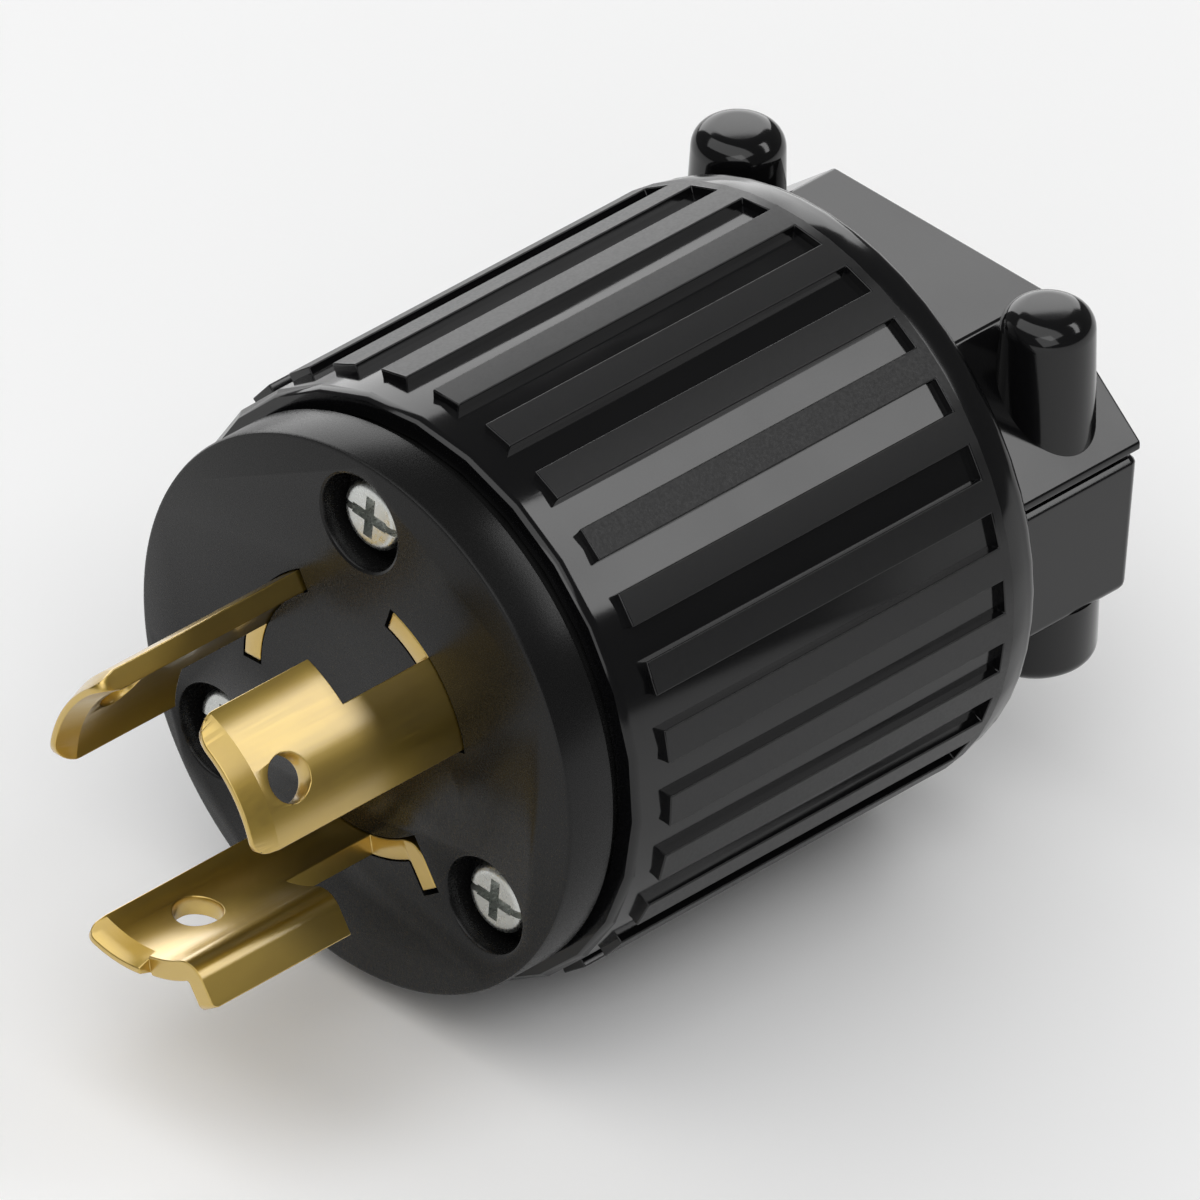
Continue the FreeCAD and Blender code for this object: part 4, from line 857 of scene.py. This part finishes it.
class PLUG_OT_ground_blade(bpy.types.Operator):
    """The ground blade with its leg bent outwards"""
    bl_idname = "plug.ground_blade"
    bl_label = "Ground blade"

    def execute(self, context):
        blades = sizes("blades")
        outer, inner = blades.outer, blades.outer - blades.thickness
        tip, leg_tip = -blades.ground_reach, -blades.leg_reach
        name, start, neck, notch = blade_rows()[2]
        leg_angle = start + neck + notch
        bend_circle = (inner + outer) / 2 + blades.bend
        back_off = math.asin(blades.bend / bend_circle)
        arc_end = leg_angle - back_off
        step_angle, hair, near = start + neck, math.radians(0.06), 0.003 * MM
        piece = sector(name, inner, outer, start, neck, tip, blades.root, tip_slants(inner, outer, tip))
        only(piece)
        bpy.ops.object.mode_set(mode="EDIT")
        bpy.ops.mesh.select_all(action="SELECT")
        bpy.ops.mesh.bisect(plane_co=(0, leg_tip, 0), plane_no=(0, 1, 0), threshold=MERGE)
        pick_end(step_angle)
        bpy.ops.mesh.spin(steps=1, angle=hair, center=(0, 0, 0), axis=(0, 1, 0))
        side = sideways(step_angle + hair)
        pick("VERT", lambda corner: abs(corner.co.dot(side)) < near
             and corner.co.y < tip + blades.tip_run + 0.01 * MM)
        bpy.ops.transform.resize(value=(1, 0, 1), center_override=(0, leg_tip, 0))
        pick_end(step_angle + hair)
        rest = arc_end - step_angle - hair
        bpy.ops.mesh.spin(steps=round(rest / FACET), angle=rest, center=(0, 0, 0), axis=(0, 1, 0))
        pick_end(arc_end)
        centre = Vector((math.cos(arc_end), 0, math.sin(arc_end))) * bend_circle
        bpy.ops.mesh.spin(steps=9, angle=math.pi / 2 - back_off, center=centre, axis=(0, -1, 0))
        out = Vector((math.cos(leg_angle), 0, math.sin(leg_angle)))
        leg = blades.leg_out - bend_circle * math.cos(back_off)
        bpy.ops.mesh.extrude_region_move(TRANSFORM_OT_translate={"value": out * leg})
        bpy.ops.mesh.select_all(action="SELECT")
        bpy.ops.mesh.remove_doubles(threshold=0.02 * MM)
        bpy.ops.mesh.dissolve_degenerate(threshold=MERGE)
        bpy.ops.mesh.normals_make_consistent(inside=False)
        bpy.ops.object.mode_set(mode="OBJECT")

        low, high, sweep = inner - PAST, blades.leg_out + PAST, notch + math.radians(9)
        cut(piece, sector("notch", low, high, step_angle, sweep, -blades.notch, 0),
            sector("behind_leg", outer, high, step_angle, sweep, 12 * MM, blades.root + PAST),
            corner_tool(blades.corner, tip, start, -1),
            radial_hole(blades.hole, -blades.hole_reach, start + blades.ground_hole),
            radial_hole(blades.terminal_hole, blades.terminal_place, start + blades.ground_terminal))
        ease, wide = blades.leg_corner, 3 * MM
        corner = block("corner", (-wide, leg_tip - PAST, blades.leg_out - ease),
                       (wide, leg_tip + ease, blades.leg_out + PAST))
        core = drawn("core", 48, [(-wide - PAST, ease), (wide + PAST, ease)], axis="Z")
        core.rotation_euler.y = math.pi / 2
        core.location = (0, leg_tip + ease, blades.leg_out - ease)
        cut(piece, stood_out(cut(corner, finish_piece(core, "core")), leg_angle))
        dress_blade(tumbled(piece), name)
        return {"FINISHED"}


def screw(name, head_radius, head_height, shank_radius, tip, bend):
    """A pan-head screw along +Y with a combined slot and cross recess, its head's top at y = 0."""
    flat, chamfer = 0.2 * MM, 0.5 * MM
    dome = [(0.8 * bend * (1 - math.cos(a)), head_radius - bend * (1 - math.sin(a))) for a in quarter(6)]
    body = drawn(name, 48, [(0, head_radius - bend - flat)] + dome
                 + [(head_height, head_radius), (head_height, shank_radius), (tip - chamfer, shank_radius),
                    (tip, shank_radius - chamfer)])
    arm, arm_half, slot_half = 0.62 * head_radius, 0.16 * head_radius, 0.11 * head_radius
    slot_depth, cross_depth = 0.38 * head_height, 0.72 * head_height
    tools = [block("recess", (-x, -PAST, -z), (x, deep, z)) for x, z, deep in (
        (2 * head_radius, slot_half, slot_depth), (arm, arm_half, cross_depth), (arm_half, arm, cross_depth))]
    return round_shading(cut(body, *tools))


class PLUG_OT_screws(bpy.types.Operator):
    """Face screws and clamp screws"""
    bl_idname = "plug.screws"
    bl_label = "Screws"

    def execute(self, context):
        face, clamp = sizes("face"), sizes("clamp")
        model = screw("face_screw", face.head_radius, 1.9 * MM, shank_radius=1.5 * MM, tip=33.9 * MM,
                      bend=0.75 * MM)
        heads = copies(model, [((x, face.head_top, z), (0, math.radians(spin), 0))
                               for (x, z), spin in zip(screw_places(), (4, -8, 3))])
        dress(join("face_screw_heads", heads), zinc_plate(), "face_screws", slot_name="screw_steel")
        model = screw("clamp_screw", 3.4 * MM, 2.4 * MM, shank_radius=1.9 * MM, tip=25.9 * MM,
                      bend=0.8 * MM)
        heads = copies(model, [((side * clamp.screw_x, clamp.screw_y, CLAMP_SCREW_LOW.z),
                                (math.radians(90), 0, math.radians(spin)))
                               for side, spin in ((-1, 20), (1, -35))])
        dress(join("clamp_screw_heads", heads), zinc_plate(), "clamp_screws", slot_name="screw_steel")
        return {"FINISHED"}


class PLUG_OT_inner_parts(bpy.types.Operator):
    """Finishes of the pieces inside the plug"""
    bl_idname = "plug.inner_parts"
    bl_label = "Inner parts"

    def execute(self, context):
        moulded = plain_inner("grey_thermoset", "#4b4a47", 0.45, 0.62)
        turned_brass = plain_inner("turned_brass", "#c39a4a", 0.25, 0.4, 1.0, 0.2)
        rubber = plain_inner("black_rubber", "#151515", 0.6, 0.78)
        finishes = {"rear_body": moulded, "wire_divider": moulded, "wire_plate_x": zinc_plate(),
                    "wire_plate_y": zinc_plate(), "wire_plate_ground": zinc_plate(),
                    "line_terminal_screws": turned_brass, "ground_terminal_screw": zinc_plate(),
                    "shell_inserts": turned_brass, "clamp_washers": zinc_plate(),
                    "clamp_inserts": turned_brass, "dust_seal": rubber}
        for node, material in finishes.items():
            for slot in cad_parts[node].material_slots:
                slot.material = material
        return {"FINISHED"}


# Lamps: name, angle round the plug's axis, angle aside of +Y, width and depth as angles, all in degrees,
# and brightness. The shell's flats mirror the two behind, and the blades mostly the front one.
SOFTBOXES = (("behind_right", 59, 54, 38, 10, 4.3), ("behind_left", 156, 54, 40, 50, 2.7),
             ("overhead", 90, 110, 90, 46, 1.58), ("front_right", 40, 128, 44, 40, 1.4))


class PLUG_OT_stage(bpy.types.Operator):
    """Floor, backdrop, lamps and camera"""
    bl_idname = "plug.stage"
    bl_label = "Stage"

    def execute(self, context):
        scene = context.scene
        scene.view_settings.view_transform = "Standard"
        paper = bpy.data.materials.new("white_paper")
        paper.use_nodes = True
        shader = paper.node_tree.nodes["Principled BSDF"]
        shader.inputs["Base Color"].default_value = opaque(sizes("colours").backdrop)
        shader.inputs["Roughness"].default_value = 1.0
        shader.inputs["Specular IOR Level"].default_value = 0.0
        only(None)
        hair = 0.02 * MM  # keeps the floor out of the lowest rib's flat
        bpy.ops.mesh.primitive_plane_add(size=12, location=(0, 0, SHELL_LOW.z - hair))
        floor = finish_piece(bpy.context.object, "floor")
        floor.data.materials.append(paper)

        world = bpy.data.worlds.new("studio")
        scene.world = world
        world.use_nodes = True
        back = world.node_tree.nodes["Background"]
        back.inputs["Color"].default_value = (1, 1, 1, 1)
        back.inputs["Strength"].default_value = 0.12
        for softbox in SOFTBOXES:
            self.softbox(*softbox)
        self.camera()
        return {"FINISHED"}

    def softbox(self, name, around, aside, wide, deep, level):
        """A lamp a metre from the plug, turned to it."""
        around, aside, wide, deep = (math.radians(v) for v in (around, aside, wide, deep))
        towards = Vector((math.sin(aside) * math.cos(around), math.cos(aside),
                          math.sin(aside) * math.sin(around)))
        along = Vector((-math.sin(around), 0, math.cos(around)))
        data = bpy.data.lights.new(name, "AREA")
        data.shape = "RECTANGLE"
        data.size, data.size_y = 2 * math.tan(wide / 2), 2 * math.tan(deep / 2)
        data.energy = level * math.pi * data.size * data.size_y
        lamp = bpy.data.objects.new(name, data)
        bpy.context.scene.collection.objects.link(lamp)
        turned = Matrix((along, towards.cross(along), towards)).transposed().to_4x4()
        middle = Vector((0, 20 * MM, 0))
        lamp.matrix_world = Matrix.Translation(middle + towards) @ turned

    def camera(self):
        """The camera that was fitted to the photograph, with its focal length in the photograph's pixels."""
        azimuth, elevation, roll = (math.radians(v) for v in (44.01, 34.811, 2.081))
        focal, picture = 27849.5, 1200
        back = Vector((math.sin(azimuth) * math.cos(elevation), -math.cos(azimuth) * math.cos(elevation),
                       math.sin(elevation)))
        right = Vector((math.cos(azimuth), math.sin(azimuth), 0))
        up = back.cross(right)
        across = right * math.cos(roll) + up * math.sin(roll)
        upward = up * math.cos(roll) - right * math.sin(roll)
        data = bpy.data.cameras.new("camera")
        data.sensor_width = 36
        data.lens = focal / picture * data.sensor_width
        data.clip_start, data.clip_end = 0.1, 20
        camera = bpy.data.objects.new("camera", data)
        bpy.context.scene.collection.objects.link(camera)
        place = Vector((1207.3, -1223.6, 1206.5)) * MM
        camera.matrix_world = Matrix.Translation(place) @ Matrix((across, upward, back)).transposed().to_4x4()
        bpy.context.scene.camera = camera


PIECES = (PLUG_OT_shell, PLUG_OT_saddle, PLUG_OT_jaw, PLUG_OT_face, PLUG_OT_line_blades,
          PLUG_OT_ground_blade, PLUG_OT_screws, PLUG_OT_inner_parts, PLUG_OT_stage)
GROUPS = {"shell": PlugShellSizes, "clamp": PlugClampSizes, "face": PlugFaceSizes,
          "blades": PlugBladeSizes, "colours": PlugColours}


class PLUG_PT_panel(bpy.types.Panel):
    """Pieces of the plug"""
    bl_label = "Locking plug"
    bl_idname = "PLUG_PT_panel"
    bl_space_type = "VIEW_3D"
    bl_region_type = "UI"
    bl_category = "Plug"

    def draw(self, context):
        for piece in PIECES:
            self.layout.operator(piece.bl_idname)
        for name, group in GROUPS.items():
            box = self.layout.box()
            for key in group.__annotations__:
                box.prop(sizes(name), key)


def register():
    for name, group in GROUPS.items():
        bpy.utils.register_class(group)
        setattr(bpy.types.Scene, "plug_" + name, bpy.props.PointerProperty(type=group))
    for piece in PIECES:
        bpy.utils.register_class(piece)
    bpy.utils.register_class(PLUG_PT_panel)


def unregister():
    bpy.utils.unregister_class(PLUG_PT_panel)
    for piece in reversed(PIECES):
        bpy.utils.unregister_class(piece)
    for name, group in GROUPS.items():
        delattr(bpy.types.Scene, "plug_" + name)
        bpy.utils.unregister_class(group)


def main():
    register()
    for piece in PIECES:
        group, name = piece.bl_idname.split(".")
        getattr(getattr(bpy.ops, group), name)()


if __name__ == "__main__":
    main()
